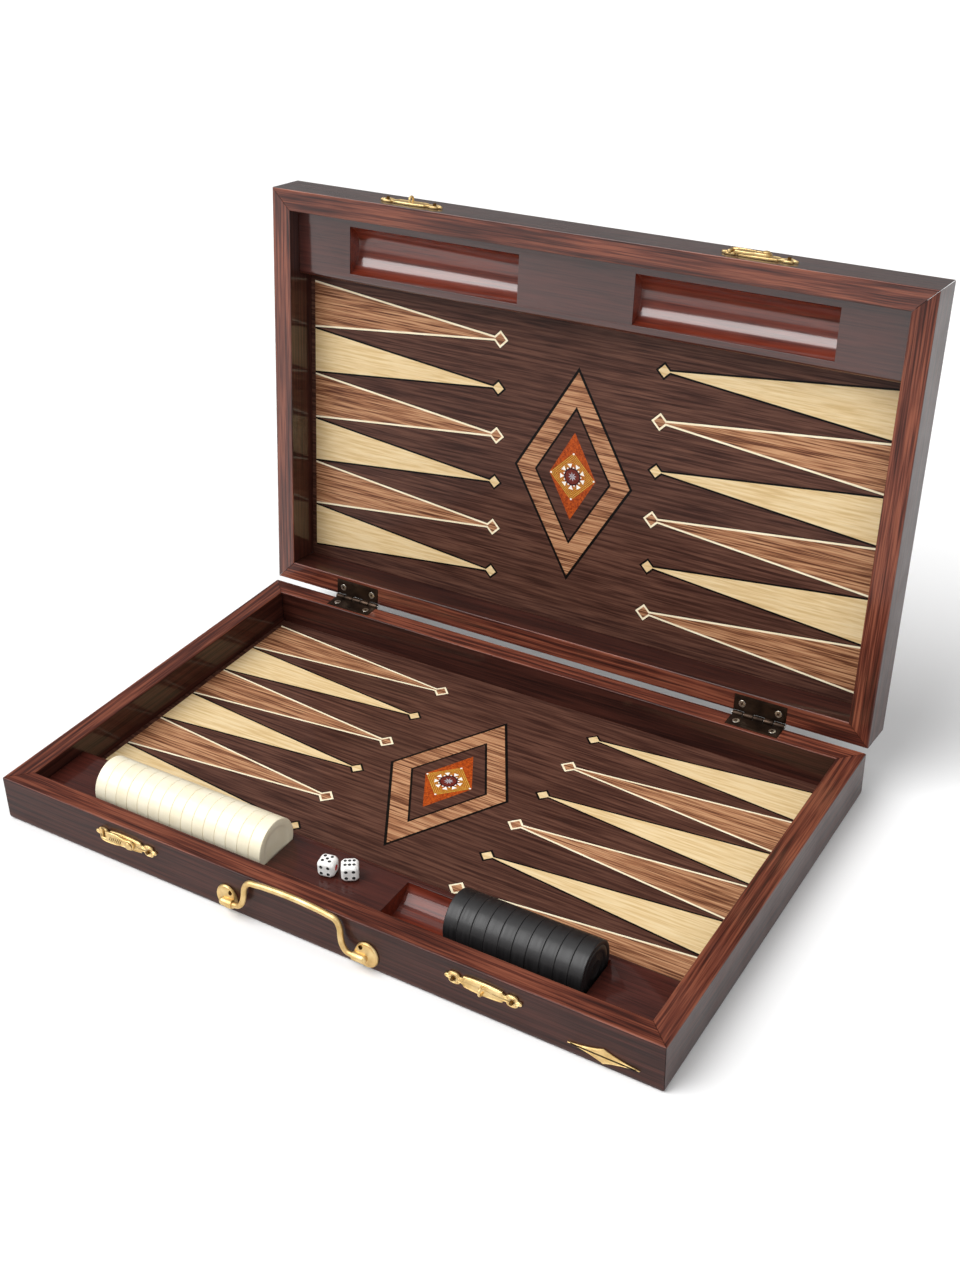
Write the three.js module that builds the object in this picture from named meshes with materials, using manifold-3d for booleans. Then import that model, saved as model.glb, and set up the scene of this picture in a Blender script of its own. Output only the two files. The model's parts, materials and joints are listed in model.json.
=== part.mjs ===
// A folding backgammon case, open for play, with its checkers and dice.
//
// Millimetres. +X runs along the hinge line, +Y from the front to the back and +Z up.
// The origin is the centre of the base tray's underside.
// Both halves of the case are the same tray. The lid's tray is turned over and hinged to the
// back of the base, and stands just past upright.

import * as THREE from 'three';
import { mergeVertices } from 'three/addons/utils/BufferGeometryUtils.js';
import { RoundedBoxGeometry } from 'three/addons/geometries/RoundedBoxGeometry.js';
import Module from 'manifold-3d';

const wasm = await Module();
wasm.setup();

// ---------------------------------------------------------------- driving dimensions

const GAP = 0.3;                 // clearance between pieces that touch

const CASE_LENGTH = 480;         // along the hinge line
const CASE_DEPTH = 304;          // front to back, one tray
const TRAY_HEIGHT = 33.5;        // one tray, underside to rim
const RAIL = 15;                 // thickness of the four rails
const BOARD = 8;                 // thickness of the bottom board

const RACK_TOP = 22.5;           // height of the checker rack above the underside
const RACK_DEPTH = 62;           // from the tray's front face to the back of the rack
const TROUGH_FROM_FRONT = 39;    // from the tray's front face to the troughs' centre line
const TROUGH_RADIUS = 18;
const TROUGH_FLOOR = 10.5;       // lowest line of the trough above the underside
const TROUGH_START = 43;         // from the middle of the case to the near end of a trough
const TROUGH_LENGTH = 137;

const CHECKER_RADIUS = 17.5;
const CHECKER_THICKNESS = 8.7;
const CHECKER_ROUND = 1.9;       // rounding of a checker's edge
const WHITE_CHECKERS = 15;
const WHITE_START = 0.5;         // from the white trough's inner end wall to the first checker
const BLACK_CHECKERS = 10;
const BLACK_START = 1.5;         // from the black trough's outer end wall to the first checker

const LID_OPENING = THREE.MathUtils.degToRad(96);
const HINGE_OUT = 1.6;           // hinge axis behind the back face
const HINGE_UP = 0.5;            // hinge axis above the rim
const HINGE_CENTRE = 164.5;      // from the middle of the case to the middle of a hinge
const HINGE_WIDTH = 37;
const HINGE_LEAF = 12.4;         // how far a leaf reaches onto the rim
const LEAF_THICKNESS = 1.2;
const BARREL_RADIUS = 2;
const PIN_RADIUS = 0.9;
const KNUCKLES = 5;

const LATCH_CENTRE = 129;        // from the middle of the case to a hook's pivot and its staple
const LATCH_BELOW_RIM = 11;
const LATCH_PLATE_LENGTH = 50;
const LATCH_PLATE_HEIGHT = 9.6;
const LATCH_PLATE_THICKNESS = 1.2;
const HOOK_PLATE_SHIFT = 4;      // a hook's plate sits this far towards its stowed side
const HOOK_THICKNESS = 1.6;
const FINGER_WIDTH = 2;
const STAPLE_WIRE = 0.8;         // radius of the staple's wire
const STAPLE_LEG = 2.4;          // from the staple's middle to each leg
const NAIL_HOLE_RADIUS = 1.1;
const NAIL_SPACING = 38;
const PIVOT = { shaft: 1.5, hole: 1.8, head: 2.7 };    // radii of a hook's rivet and its hole
const HOOK_REACH = 2 * (LATCH_BELOW_RIM + HINGE_UP);   // pivot to staple with the case shut
const HOOK_BACK = GAP + LATCH_PLATE_THICKNESS + 0.4;   // the hook's back in front of the face

const HANDLE_MIDDLE = -1.5;      // from the middle of the case
const HANDLE_PLATE_CENTRE = 52;  // from the middle of the handle
const HANDLE_PLATE_HEIGHT = 11.7;
const HANDLE_PIVOT_HEIGHT = 11.5;
const HANDLE_PIVOT_OUT = 4.8;    // the bail's pivot line in front of the front face
const BAIL_WIRE = 2;             // radius
const BAIL_LEAN = THREE.MathUtils.degToRad(6.2);   // towards the case, until the bar touches it

const HANDLE_PLATE = { halfWidth: 7.6, halfHeight: 9, thickness: 1.6 };
const HANDLE_SWELLING = { inwards: 2.6, length: 6.2, radius: 4.2 };   // holds one end of the bail

const DIE = 11;
const DIE_ROUND = 2.6;           // rounding of a die's edges
const DICE = [                   // y is from the tray's front face, turn in degrees
  { name: 'die_left', x: -4, fromFront: 38.5, turn: 12 },
  { name: 'die_right', x: 10, fromFront: 42, turn: 33 },
];
const ORNAMENT = { x: 204, z: 9.5, length: 44, height: 11, thickness: 0.8 };

// ---------------------------------------------------------------- materials

function finish(color, roughness, metalness) {
  return new THREE.MeshStandardMaterial({ color, roughness, metalness });
}

const rosewood = finish(0x5a2a20, 0.3, 0);
const fieldVeneer = finish(0x4a3028, 0.35, 0);
const rackWood = finish(0x4b211b, 0.25, 0);
const brass = finish(0xcaa85a, 0.35, 1);
const bronze = finish(0x4a3a2c, 0.45, 1);
const steel = finish(0x9a9690, 0.35, 1);
const ivory = finish(0xf2e8cb, 0.4, 0);
const ebony = finish(0x1b1b1d, 0.35, 0);
const dieWhite = finish(0xf4f3f1, 0.3, 0);

// ---------------------------------------------------------------- helpers

// A solid that can be joined and cut, from a closed geometry.
function solidOf(geometry) {
  const bare = geometry.clone();
  bare.deleteAttribute('normal');
  bare.deleteAttribute('uv');
  const merged = mergeVertices(bare, 1e-4);
  const vertProperties = new Float32Array(merged.attributes.position.array);
  const triVerts = new Uint32Array(merged.index.array);
  return new wasm.Manifold(new wasm.Mesh({ numProp: 3, vertProperties, triVerts }));
}

// A geometry again, from a solid that has been joined or cut.
function geometryOf(solid) {
  const mesh = solid.getMesh();
  const geometry = new THREE.BufferGeometry();
  geometry.setAttribute('position', new THREE.BufferAttribute(mesh.vertProperties, 3));
  geometry.setIndex(new THREE.BufferAttribute(mesh.triVerts, 1));
  geometry.computeVertexNormals();
  return geometry;
}

function joined(first, ...others) {
  return geometryOf(others.reduce((all, one) => all.add(solidOf(one)), solidOf(first)));
}

function cut(body, ...tools) {
  return geometryOf(tools.reduce((left, tool) => left.subtract(solidOf(tool)), solidOf(body)));
}

// A box given by its lowest and highest corners.
function block(low, high) {
  const size = high.map((value, axis) => value - low[axis]);
  const middle = high.map((value, axis) => (value + low[axis]) / 2);
  return new THREE.BoxGeometry(...size).translate(...middle);
}

// A round bar along X from start to end, centred on y and z.
function barAlongX(radius, start, end, y, z, sides) {
  const bar = new THREE.CylinderGeometry(radius, radius, end - start, sides);
  return bar.rotateZ(Math.PI / 2).translate((start + end) / 2, y, z);
}

// A round bar along Y, standing out of a front face.
function barAlongY(radius, start, end, x, z, sides) {
  const bar = new THREE.CylinderGeometry(radius, radius, end - start, sides);
  return bar.translate(x, (start + end) / 2, z);
}

// The corners of a regular ring about a point, for round outlines and holes.
function ring(centreX, centreY, radiusX, radiusY, sides) {
  const corners = [];
  for (let i = 0; i < sides; i += 1) {
    const angle = 2 * Math.PI * i / sides;
    const x = centreX + radiusX * Math.cos(angle);
    const y = centreY + radiusY * Math.sin(angle);
    corners.push(new THREE.Vector2(x, y));
  }
  return corners;
}

function roundHole(centreX, centreY, radius) {
  return new THREE.Path(ring(centreX, centreY, radius, radius, 14));
}

// A flat outline drawn in x and z, standing out of a front face: its back is at y = -back.
function plateOnFace(shape, back, thickness) {
  const options = { depth: thickness, bevelEnabled: false, curveSegments: 5 };
  const plate = new THREE.ExtrudeGeometry(shape, options);
  return plate.rotateX(Math.PI / 2).translate(0, -back, 0);
}

// A round bar swept along a curve.
function roundWire(curve, radius, steps, sides) {
  const section = new THREE.Shape(ring(0, 0, radius, radius, sides));
  return new THREE.ExtrudeGeometry(section, { steps, bevelEnabled: false, extrudePath: curve });
}

function place(group, name, geometry, material) {
  const mesh = new THREE.Mesh(geometry, material);
  mesh.name = name;
  group.add(mesh);
  return mesh;
}

// ---------------------------------------------------------------- the tray

// Section of a rail: u runs inwards from the outer face, v up from the underside.
function railSection() {
  const foot = 3;
  const lip = 1;
  const section = new THREE.Shape();
  section.moveTo(foot, 0);
  section.lineTo(RAIL, 0);
  section.lineTo(RAIL, TRAY_HEIGHT - lip);
  section.quadraticCurveTo(RAIL, TRAY_HEIGHT, RAIL - lip, TRAY_HEIGHT);
  section.lineTo(lip, TRAY_HEIGHT);
  section.quadraticCurveTo(0, TRAY_HEIGHT, 0, TRAY_HEIGHT - lip);
  section.lineTo(0, foot);
  section.quadraticCurveTo(0, 0, foot, 0);
  return section;
}

// A rail along X with its outer face at y = 0, its ends mitred at 45 degrees.
function mitredRail(length) {
  const options = { depth: 1, bevelEnabled: false, curveSegments: 3 };
  const rail = new THREE.ExtrudeGeometry(railSection(), options);
  const mitreGap = GAP / Math.SQRT2;
  const position = rail.attributes.position;
  for (let i = 0; i < position.count; i += 1) {
    const inwards = position.getX(i);
    const height = position.getY(i);
    const side = position.getZ(i) * 2 - 1;
    position.setXYZ(i, side * (length / 2 - inwards - mitreGap), inwards, height);
  }
  return rail;
}

function hingeMortise(centre) {
  const half = HINGE_WIDTH / 2 + GAP;
  const floor = TRAY_HEIGHT + HINGE_UP - GAP - LEAF_THICKNESS - GAP;
  return block([centre - half, -1, floor], [centre + half, HINGE_LEAF + GAP, TRAY_HEIGHT + 1]);
}

function addRails(tray, prefix) {
  const front = place(tray, `${prefix}_front_rail`, mitredRail(CASE_LENGTH), rosewood);
  front.position.y = -CASE_DEPTH / 2;

  const mortised = cut(mitredRail(CASE_LENGTH), hingeMortise(-HINGE_CENTRE), hingeMortise(HINGE_CENTRE));
  const back = place(tray, `${prefix}_back_rail`, mortised, rosewood);
  back.position.y = CASE_DEPTH / 2;
  back.rotation.z = Math.PI;

  for (const side of [-1, 1]) {
    const name = (side < 0) === (prefix === 'base') ? 'left' : 'right';
    const rail = place(tray, `${prefix}_${name}_rail`, mitredRail(CASE_DEPTH), rosewood);
    rail.position.x = side * CASE_LENGTH / 2;
    rail.rotation.z = side * Math.PI / 2;
  }
}

function addBoard(tray, prefix) {
  const halfLength = CASE_LENGTH / 2 - RAIL - GAP;
  const halfDepth = CASE_DEPTH / 2 - RAIL - GAP;
  const board = block([-halfLength, -halfDepth, 0], [halfLength, halfDepth, BOARD]);
  place(tray, `${prefix}_board`, board, fieldVeneer);
}

// The rack is one plank along the front with two round-bottomed troughs.
function addRack(tray, prefix) {
  const front = -CASE_DEPTH / 2 + RAIL + GAP;
  const back = -CASE_DEPTH / 2 + RACK_DEPTH;
  const round = 2.5;
  const section = new THREE.Shape();
  section.moveTo(front, BOARD + GAP);
  section.lineTo(back, BOARD + GAP);
  section.lineTo(back, RACK_TOP - round);
  section.quadraticCurveTo(back, RACK_TOP, back - round, RACK_TOP);
  section.lineTo(front, RACK_TOP);
  section.closePath();

  const length = CASE_LENGTH - 2 * (RAIL + GAP);
  const options = { depth: length, bevelEnabled: false, curveSegments: 5 };
  const plank = new THREE.ExtrudeGeometry(section, options);
  plank.rotateX(Math.PI / 2).rotateZ(Math.PI / 2).translate(-length / 2, 0, 0);

  const axisHeight = TROUGH_FLOOR + TROUGH_RADIUS;
  const axisY = -CASE_DEPTH / 2 + TROUGH_FROM_FRONT;
  const troughs = [-TROUGH_START - TROUGH_LENGTH, TROUGH_START].map((start) =>
    barAlongX(TROUGH_RADIUS, start, start + TROUGH_LENGTH, axisY, axisHeight, 56));
  place(tray, `${prefix}_checker_rack`, cut(plank, ...troughs), rackWood);
}

function addTray(group, prefix) {
  addRails(group, prefix);
  addBoard(group, prefix);
  addRack(group, prefix);
}

// ---------------------------------------------------------------- hinges

// One leaf with its knuckles, about the hinge axis with the case shut. The base's leaf lies
// below the axis and has the outer and middle knuckles; the lid's leaf has the others.
function hingeLeaf(side, firstKnuckle) {
  const half = HINGE_WIDTH / 2;
  const pitch = HINGE_WIDTH / KNUCKLES;
  const inner = side * GAP;
  const outer = side * (GAP + LEAF_THICKNESS);
  const reach = HINGE_OUT + HINGE_LEAF;
  const plate = block([-half, -reach, Math.min(inner, outer)], [half, 0, Math.max(inner, outer)]);

  const own = [];
  const clearances = [];
  for (let i = 0; i < KNUCKLES; i += 1) {
    const start = -half + i * pitch;
    if (i % 2 === firstKnuckle) {
      own.push(barAlongX(BARREL_RADIUS, start, start + pitch, 0, 0, 20));
    } else {
      clearances.push(barAlongX(BARREL_RADIUS + GAP, start - GAP, start + pitch + GAP, 0, 0, 20));
    }
  }
  const bore = barAlongX(PIN_RADIUS + GAP, -half - 1, half + 1, 0, 0, 16);
  return cut(joined(plate, ...own), ...clearances, bore);
}

function hingePin() {
  const half = HINGE_WIDTH / 2 + 0.6;
  return barAlongX(PIN_RADIUS, -half, half, 0, 0, 16);
}

// ---------------------------------------------------------------- latches

// A quarter of the scalloped plate's edge: body, waist, lobe round the nail and end lobe.
function scallopedPlate() {
  const halfLength = LATCH_PLATE_LENGTH / 2;
  const halfHeight = LATCH_PLATE_HEIGHT / 2;
  const waist = { x: 0.6 * halfLength, z: 0.42 * halfHeight };
  const shoulder = { x: 0.5 * halfLength, z: 0.8 * halfHeight };
  const lobe = { x: 0.76 * halfLength, z: 0.86 * halfHeight };
  const neck = { x: 0.9 * halfLength, z: 0.32 * halfHeight };

  const quarter = new THREE.Path();
  quarter.moveTo(0, halfHeight);
  quarter.lineTo(shoulder.x, shoulder.z);
  quarter.quadraticCurveTo(shoulder.x, waist.z, waist.x, waist.z);
  quarter.quadraticCurveTo(waist.x, lobe.z, lobe.x, lobe.z);
  quarter.quadraticCurveTo(neck.x, lobe.z, neck.x, neck.z);
  quarter.quadraticCurveTo(halfLength, neck.z, halfLength, 0);

  const edge = quarter.getPoints(4).slice(0, -1);
  const flip = (list, x, z) => list.map((p) => new THREE.Vector2(x * p.x, z * p.y));
  const tip = new THREE.Vector2(halfLength, 0);
  const otherTip = new THREE.Vector2(-halfLength, 0);
  const upper = [...flip(edge.slice(1), -1, 1).reverse(), ...edge, tip];
  const lower = [...flip(edge.slice(1), 1, -1).reverse(), ...flip(edge, -1, -1), otherTip];
  const shape = new THREE.Shape([...upper, ...lower]);
  for (const side of [-1, 1]) shape.holes.push(roundHole(side * NAIL_SPACING / 2, 0, NAIL_HOLE_RADIUS));
  return shape;
}

function latchPlate() {
  return plateOnFace(scallopedPlate(), GAP, LATCH_PLATE_THICKNESS);
}

// The staple is an arch of wire in the plane across the front face; the hook's finger slides
// through it sideways.
function staplePlate() {
  const rootY = -GAP - 0.5 * LATCH_PLATE_THICKNESS;
  const centreY = -3;
  const line = new THREE.CurvePath();
  const foot = (z) => new THREE.Vector3(0, rootY, z);
  const knee = (z) => new THREE.Vector3(0, centreY, z);
  const crown = [];
  const steps = 10;
  for (let i = 0; i <= steps; i += 1) {
    const angle = Math.PI * i / steps;
    const z = -STAPLE_LEG * Math.cos(angle);
    crown.push(new THREE.Vector3(0, centreY - STAPLE_LEG * Math.sin(angle), z));
  }
  line.add(new THREE.LineCurve3(foot(-STAPLE_LEG), knee(-STAPLE_LEG)));
  line.add(new THREE.CatmullRomCurve3(crown));
  line.add(new THREE.LineCurve3(knee(STAPLE_LEG), foot(STAPLE_LEG)));
  const wire = roundWire(line, STAPLE_WIRE, 16, 8);
  return joined(latchPlate(), wire);
}

function hookPlate() {
  const pivotHole = barAlongY(PIVOT.hole, -5, 0.5, HOOK_PLATE_SHIFT, 0, 16);
  return cut(latchPlate(), pivotHole);
}

// The hook lies along -X from its pivot, widest over its leaf-shaped middle. Its finger is an arc
// about the pivot, so that it runs through the staple as the hook turns. closing is +1 where the
// finger points up, -1 down.
function swingHook(closing) {
  const eye = 3.5;
  const topWaist = [-6, 2.6];
  const topLeaf = { start: [-9, 4.2], crown: [-14, 5], end: 3.4 };
  const bottomLeaf = { end: [-HOOK_REACH + 4, -4.4], crown: [-12, -4.6], start: [-8, -3.2] };
  const bottomWaist = [-5, -2.4];
  const fingerOut = HOOK_REACH + FINGER_WIDTH / 2;
  const fingerIn = HOOK_REACH - FINGER_WIDTH / 2;
  const tipAngle = THREE.MathUtils.degToRad(11);
  const rootAngle = -THREE.MathUtils.degToRad(4);
  const onArc = (radius, angle) => [-radius * Math.cos(angle), radius * Math.sin(angle)];
  const notch = HOOK_REACH - STAPLE_LEG - STAPLE_WIRE - 0.5;

  const outline = new THREE.Path();
  outline.moveTo(0, eye);
  outline.quadraticCurveTo(...topWaist, ...topLeaf.start);
  outline.quadraticCurveTo(...topLeaf.crown, -notch, topLeaf.end);
  outline.lineTo(...onArc(notch, rootAngle));
  outline.lineTo(...onArc(fingerIn, rootAngle));
  outline.lineTo(...onArc(fingerIn, tipAngle));
  outline.quadraticCurveTo(...onArc(HOOK_REACH, tipAngle * 1.25), ...onArc(fingerOut, tipAngle));
  outline.lineTo(...onArc(fingerOut, rootAngle));
  outline.quadraticCurveTo(-fingerOut, bottomLeaf.end[1], ...bottomLeaf.end);
  outline.quadraticCurveTo(...bottomLeaf.crown, ...bottomLeaf.start);
  outline.quadraticCurveTo(...bottomWaist, 0, -eye);
  outline.quadraticCurveTo(eye, -eye, eye, 0);
  outline.quadraticCurveTo(eye, eye, 0, eye);

  const points = outline.getPoints(4).map((p) => new THREE.Vector2(p.x, closing * p.y));
  const shape = new THREE.Shape(points.slice(0, -1));
  shape.holes.push(roundHole(0, 0, PIVOT.shaft + GAP));
  return plateOnFace(shape, HOOK_BACK, HOOK_THICKNESS);
}

// A domed rivet: shank through the plate and the hook, head in front of the hook.
function pivotRivet() {
  const headStart = HOOK_BACK + HOOK_THICKNESS + GAP;
  const headHeight = 1.1;
  const profile = [
    new THREE.Vector2(0, GAP),
    new THREE.Vector2(PIVOT.shaft, GAP),
    new THREE.Vector2(PIVOT.shaft, headStart),
    new THREE.Vector2(PIVOT.head, headStart),
    new THREE.Vector2(0.8 * PIVOT.head, headStart + 0.7 * headHeight),
    new THREE.Vector2(0, headStart + headHeight),
  ];
  return new THREE.LatheGeometry(profile, 16).rotateX(Math.PI);
}

// ---------------------------------------------------------------- handle

// An oval plate with a swelling that holds one end of the bail. side is -1 on the left.
function handlePlate(side) {
  const { halfWidth, halfHeight, thickness } = HANDLE_PLATE;
  const oval = new THREE.Shape(ring(0, 0, halfWidth, halfHeight, 28));
  const flat = plateOnFace(oval, GAP, thickness);

  const { inwards, length, radius } = HANDLE_SWELLING;
  const lift = HANDLE_PIVOT_HEIGHT - HANDLE_PLATE_HEIGHT;
  const swelling = new THREE.SphereGeometry(1, 18, 12);
  swelling.scale(length, radius, radius);
  swelling.translate(-side * inwards, -HANDLE_PIVOT_OUT + 0.6, lift);
  const behind = block([-12, -GAP, -10], [12, 6, 10]);
  const socketEnd = 1.8;
  const mouth = [side * socketEnd, -side * 12].sort((a, b) => a - b);
  const socket = barAlongX(BAIL_WIRE + GAP, ...mouth, -HANDLE_PIVOT_OUT, lift, 20);
  return cut(joined(flat, swelling), behind, socket);
}

// The bail about its pivot line, standing up. It bows a little over its length.
function bail() {
  const half = [
    [HANDLE_PLATE_CENTRE - 0.8, 0],
    [44, 0],
    [40, 1],
    [37.2, 4.6],
    [36, 9.5],
    [35.2, 15.5],
    [32.6, 19.7],
    [26, 21.3],
    [13, 22.5],
  ];
  const at = (side) => ([x, z]) => new THREE.Vector3(side * x, 0, z);
  const middle = new THREE.Vector3(0, 0, 22.9);
  const points = [...half.map(at(-1)), middle, ...half.map(at(1)).reverse()];
  return roundWire(new THREE.CatmullRomCurve3(points), BAIL_WIRE, 44, 10);
}

// ---------------------------------------------------------------- front ornament

function ornament() {
  const { length, height, thickness } = ORNAMENT;
  const lozenge = new THREE.Shape();
  lozenge.moveTo(-length / 2, 0);
  lozenge.quadraticCurveTo(-length / 6, -height / 6, 0, -height / 2);
  lozenge.quadraticCurveTo(length / 6, -height / 6, length / 2, 0);
  lozenge.quadraticCurveTo(length / 6, height / 6, 0, height / 2);
  lozenge.quadraticCurveTo(-length / 6, height / 6, -length / 2, 0);
  return plateOnFace(lozenge, GAP, thickness);
}

// ---------------------------------------------------------------- checkers and dice

function checker() {
  const half = CHECKER_THICKNESS / 2;
  const round = CHECKER_ROUND;
  const profile = [
    new THREE.Vector2(0, -half),
    new THREE.Vector2(CHECKER_RADIUS - round, -half),
    new THREE.Vector2(CHECKER_RADIUS, -half + round),
    new THREE.Vector2(CHECKER_RADIUS, half - round),
    new THREE.Vector2(CHECKER_RADIUS - round, half),
    new THREE.Vector2(0, half),
  ];
  return new THREE.LatheGeometry(profile, 32).rotateZ(Math.PI / 2);
}

// A row of checkers on edge in a trough. firstX is the first one's middle, step goes on from it.
function addCheckers(group, prefix, count, firstX, step, material) {
  const shape = checker();
  const y = -CASE_DEPTH / 2 + TROUGH_FROM_FRONT;
  const z = TROUGH_FLOOR + GAP + CHECKER_RADIUS;
  for (let i = 0; i < count; i += 1) {
    const number = String(i + 1).padStart(2, '0');
    const mesh = place(group, `${prefix}_checker_${number}`, shape, material);
    mesh.position.set(firstX + i * step, y, z);
  }
}

function addDie(group, { name, x, fromFront, turn }) {
  const mesh = place(group, name, new RoundedBoxGeometry(DIE, DIE, DIE, 2, DIE_ROUND), dieWhite);
  mesh.position.set(x, -CASE_DEPTH / 2 + fromFront, RACK_TOP + GAP + DIE / 2);
  mesh.rotation.z = THREE.MathUtils.degToRad(turn);
}

// ---------------------------------------------------------------- the assembly

const caseGroup = new THREE.Group();

// Base tray.
const base = new THREE.Group();
caseGroup.add(base);
addTray(base, 'base');

// Hinge axis; everything under lidAxis turns with the lid and is drawn with the case shut.
const axisHeight = TRAY_HEIGHT + HINGE_UP;
const axisY = CASE_DEPTH / 2 + HINGE_OUT;
const baseAxis = new THREE.Group();
baseAxis.position.set(0, axisY, axisHeight);
caseGroup.add(baseAxis);
const lidAxis = new THREE.Group();
lidAxis.position.copy(baseAxis.position);
lidAxis.rotation.x = -LID_OPENING;
caseGroup.add(lidAxis);

// Lid tray, turned over about Y.
const lid = new THREE.Group();
lid.rotation.y = Math.PI;
lid.position.set(0, -axisY, axisHeight);
lidAxis.add(lid);
addTray(lid, 'lid');

for (const [name, side] of [['left', -1], ['right', 1]]) {
  const baseLeaf = place(baseAxis, `${name}_hinge_base_leaf`, hingeLeaf(-1, 0), bronze);
  const lidLeaf = place(lidAxis, `${name}_hinge_lid_leaf`, hingeLeaf(1, 1), bronze);
  const pin = place(baseAxis, `${name}_hinge_pin`, hingePin(), steel);
  for (const piece of [baseLeaf, lidLeaf, pin]) piece.position.x = side * HINGE_CENTRE;
}

// Front faces: a latch's two halves, each drawn about the pivot or staple.
function frontPoint(group, x, heightWhenShut) {
  const point = new THREE.Group();
  const shutY = -CASE_DEPTH / 2;
  if (group === lidAxis) point.position.set(x, shutY - axisY, heightWhenShut - axisHeight);
  else point.position.set(x, shutY, heightWhenShut);
  group.add(point);
  return point;
}

const baseLatchHeight = TRAY_HEIGHT - LATCH_BELOW_RIM;
const lidLatchHeight = TRAY_HEIGHT + 2 * HINGE_UP + LATCH_BELOW_RIM;

function addHookSet(point, name, closing) {
  place(point, `${name}_latch_hook_plate`, hookPlate(), brass).position.x = -HOOK_PLATE_SHIFT;
  place(point, `${name}_latch_hook`, swingHook(closing), brass);
  place(point, `${name}_latch_pivot_rivet`, pivotRivet(), brass);
}

addHookSet(frontPoint(caseGroup, -LATCH_CENTRE, baseLatchHeight), 'left', 1);
addHookSet(frontPoint(lidAxis, LATCH_CENTRE, lidLatchHeight), 'right', -1);

const leftStaple = frontPoint(lidAxis, -LATCH_CENTRE, lidLatchHeight);
place(leftStaple, 'left_latch_staple_plate', staplePlate(), brass);
const rightStaple = frontPoint(caseGroup, LATCH_CENTRE, baseLatchHeight);
place(rightStaple, 'right_latch_staple_plate', staplePlate(), brass);

// Handle and ornament on the base's front face.
for (const [name, side] of [['left', -1], ['right', 1]]) {
  const point = frontPoint(caseGroup, HANDLE_MIDDLE + side * HANDLE_PLATE_CENTRE, HANDLE_PLATE_HEIGHT);
  place(point, `handle_${name}_plate`, handlePlate(side), brass);
}
const bailMesh = place(frontPoint(caseGroup, HANDLE_MIDDLE, HANDLE_PIVOT_HEIGHT), 'handle_bail', bail(), brass);
bailMesh.position.y = -HANDLE_PIVOT_OUT;
bailMesh.rotation.x = -BAIL_LEAN;
place(frontPoint(caseGroup, ORNAMENT.x, ORNAMENT.z), 'front_ornament', ornament(), brass);

// Playing pieces.
const pitch = CHECKER_THICKNESS + GAP;
const firstWhite = -TROUGH_START - WHITE_START - CHECKER_THICKNESS / 2;
const firstBlack = TROUGH_START + TROUGH_LENGTH - BLACK_START - CHECKER_THICKNESS / 2;
addCheckers(caseGroup, 'white', WHITE_CHECKERS, firstWhite, -pitch, ivory);
addCheckers(caseGroup, 'black', BLACK_CHECKERS, firstBlack, -pitch, ebony);
for (const die of DICE) addDie(caseGroup, die);

export default caseGroup;
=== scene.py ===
# %% [markdown]
# # A folding backgammon case, open for play
#
# The real object is two shallow wooden trays hinged along their backs. Each tray has four mitred
# rails, a veneered board with an inlaid playing field, and a rack with two troughs for checkers.
# The wooden frame and everything that moves come ready made as fixed parts. This lesson gives them
# their woods and metals, and makes the fine pieces that a joiner and a metalworker would add:
# inlays, turned checkers, drilled dice, screws, nails, latch plates and the handle.

import json
import math

import bmesh
import bpy
from mathutils import Matrix, Vector


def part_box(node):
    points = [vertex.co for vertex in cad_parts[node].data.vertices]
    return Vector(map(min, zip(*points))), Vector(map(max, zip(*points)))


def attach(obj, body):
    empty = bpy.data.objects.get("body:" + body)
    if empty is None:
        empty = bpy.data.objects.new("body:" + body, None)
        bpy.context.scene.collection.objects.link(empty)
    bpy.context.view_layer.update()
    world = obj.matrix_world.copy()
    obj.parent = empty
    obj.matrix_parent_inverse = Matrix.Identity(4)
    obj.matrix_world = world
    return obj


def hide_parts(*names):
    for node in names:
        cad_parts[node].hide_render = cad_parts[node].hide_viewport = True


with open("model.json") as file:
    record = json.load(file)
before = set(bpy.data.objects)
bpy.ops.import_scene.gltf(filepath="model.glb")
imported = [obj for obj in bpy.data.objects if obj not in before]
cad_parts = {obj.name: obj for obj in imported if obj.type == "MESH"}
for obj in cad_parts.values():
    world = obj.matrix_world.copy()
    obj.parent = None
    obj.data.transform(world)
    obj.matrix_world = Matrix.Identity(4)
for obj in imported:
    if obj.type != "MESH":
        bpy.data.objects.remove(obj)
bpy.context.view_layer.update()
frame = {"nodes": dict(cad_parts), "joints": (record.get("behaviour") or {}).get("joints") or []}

# %% [markdown]
# ## Where things are
#
# Every size below is in metres, so `mm` turns a joiner's millimetres into them. Both halves of the
# case are the same tray. The base stands as it was drawn, and the lid is that tray turned over and
# swung up about the hinge. One matrix takes any point of a tray to the lid, so each fine piece is
# drawn once, flat on a tray, and then set in both halves.

# %% Places of the two trays
mm = 0.001
lid_hinge = next(joint for joint in frame["joints"] if joint["name"] == "lid_hinge")
hinge_axis = Vector(lid_hinge["pos_m"])
lid_opening = math.radians(-lid_hinge["range_deg"][0])

about_hinge = Matrix.Translation(hinge_axis)
shut_to_open = about_hinge @ Matrix.Rotation(-lid_opening, 4, "X") @ about_hinge.inverted()
turned_over = Matrix.Translation((0, 0, 2 * hinge_axis.z)) @ Matrix.Rotation(math.pi, 4, "Y")

upright = Matrix.Identity(4)
tray_place = {"base": upright, "lid": shut_to_open @ turned_over}
shut_place = {"base": upright, "lid": shut_to_open}


def box_in(node, place):
    """Lowest and highest corner of a fixed part, seen in the frame of its own tray."""
    back = place.inverted()
    points = [back @ vertex.co for vertex in frame["nodes"][node].data.vertices]
    low = Vector([min(point[axis] for point in points) for axis in range(3)])
    high = Vector([max(point[axis] for point in points) for axis in range(3)])
    return low, high


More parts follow.
